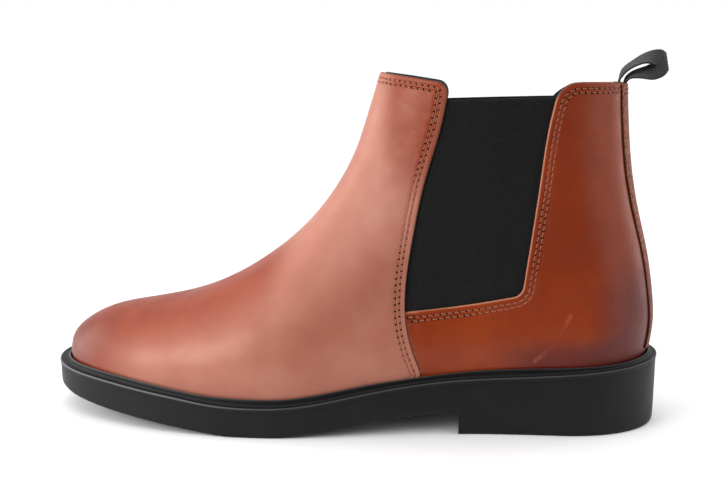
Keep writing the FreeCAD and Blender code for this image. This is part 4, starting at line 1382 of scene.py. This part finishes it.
floor_paint = Paint("white_floor", Roughness=0.7, Specular_IOR_Level=0.2)
paper = floor_paint.noise(30, 2, 0.5)
floor_paint = floor_paint.done(Base_Color=floor_paint.mix(paper, rgb(246, 246, 246), rgb(250, 250, 250)))
FLOOR, FLOOR_FRONT = 6.0, -0.125    # half size of the floor, and the y of its front edge
mesh = bpy.data.meshes.new("floor")
mesh.from_pydata([(-FLOOR, FLOOR_FRONT, 0), (FLOOR, FLOOR_FRONT, 0), (FLOOR, FLOOR, 0), (-FLOOR, FLOOR, 0)],
                 [], [(0, 1, 2, 3)])
mesh.materials.append(floor_paint)
floor = new_object("floor", mesh)
FRONT_LIGHT, SIDE_LIGHT, TOP_LIGHT = 0.1, 0.85, 0.95    # strength of the room's light


def studio():
    """White behind the boot for the camera; light from above, behind and both sides, dark in front."""
    world = bpy.data.worlds.new("studio")
    world.use_nodes = True
    room = Nodes(world.node_tree)
    room.tree.nodes.clear()
    parts = room.node("SeparateXYZ", Vector=room.node("TexCoord").outputs["Generated"]).outputs
    total = room.math("ADD", room.span(parts["Y"], -0.85, -0.1, FRONT_LIGHT, SIDE_LIGHT),
                      room.span(parts["Z"], 0.45, 1.0, 0.0, TOP_LIGHT))
    white = (1.0, 1.0, 1.0, 1.0)
    lit = room.node("Background", Color=white, Strength=total).outputs[0]
    seen = room.node("Background", Color=white).outputs[0]
    either = room.node("MixShader")
    room.put(either, {0: room.node("LightPath").outputs["Is Camera Ray"], 1: lit, 2: seen})
    room.node("OutputWorld", Surface=either.outputs[0])
    bpy.context.scene.world = world


studio()


def aimed(name, data, place, direction):
    """A lamp or camera at a place, looking along direction."""
    thing = new_object(name, data)
    thing.location = place
    thing.rotation_mode = "QUATERNION"
    thing.rotation_quaternion = direction.to_track_quat("-Z", "Y")
    return thing


def softbox(name, place, target, width, height, power):
    light = bpy.data.lights.new(name, "AREA")
    light.shape, light.size, light.size_y, light.energy = "RECTANGLE", width, height, power
    aimed(name, light, place, Vector(target) - Vector(place))


softbox("left_box", (-0.85, -0.8, 0.45), (-0.02, 0, 0.08), 0.7, 0.7, 11)
softbox("far_left_box", (-1.0, 0.1, 0.25), (-0.1, 0, 0.06), 0.7, 0.8, 5)
softbox("right_box", (0.9, -0.5, 0.12), (0.13, 0, 0.09), 0.3, 0.5, 0.9)
softbox("far_right_box", (0.95, 0.35, 0.3), (0.1, 0, 0.09), 0.25, 0.6, 1.4)

LENS, SENSOR = 55.34, 36.0
camera = bpy.data.cameras.new("camera")
camera.lens, camera.sensor_width = LENS, SENSOR
camera.clip_start, camera.clip_end = 0.01, 50.0
azimuth, elevation, reach = math.radians(5.0), math.radians(11.0), 0.560
target = Vector((0.0058, -0.0003, 0.086))
back = Vector((math.sin(azimuth) * math.cos(elevation), -math.cos(azimuth) * math.cos(elevation),
               math.sin(elevation)))
bpy.context.scene.camera = aimed("camera", camera, target + back * reach, -back)
bpy.context.scene.view_settings.view_transform = "Standard"
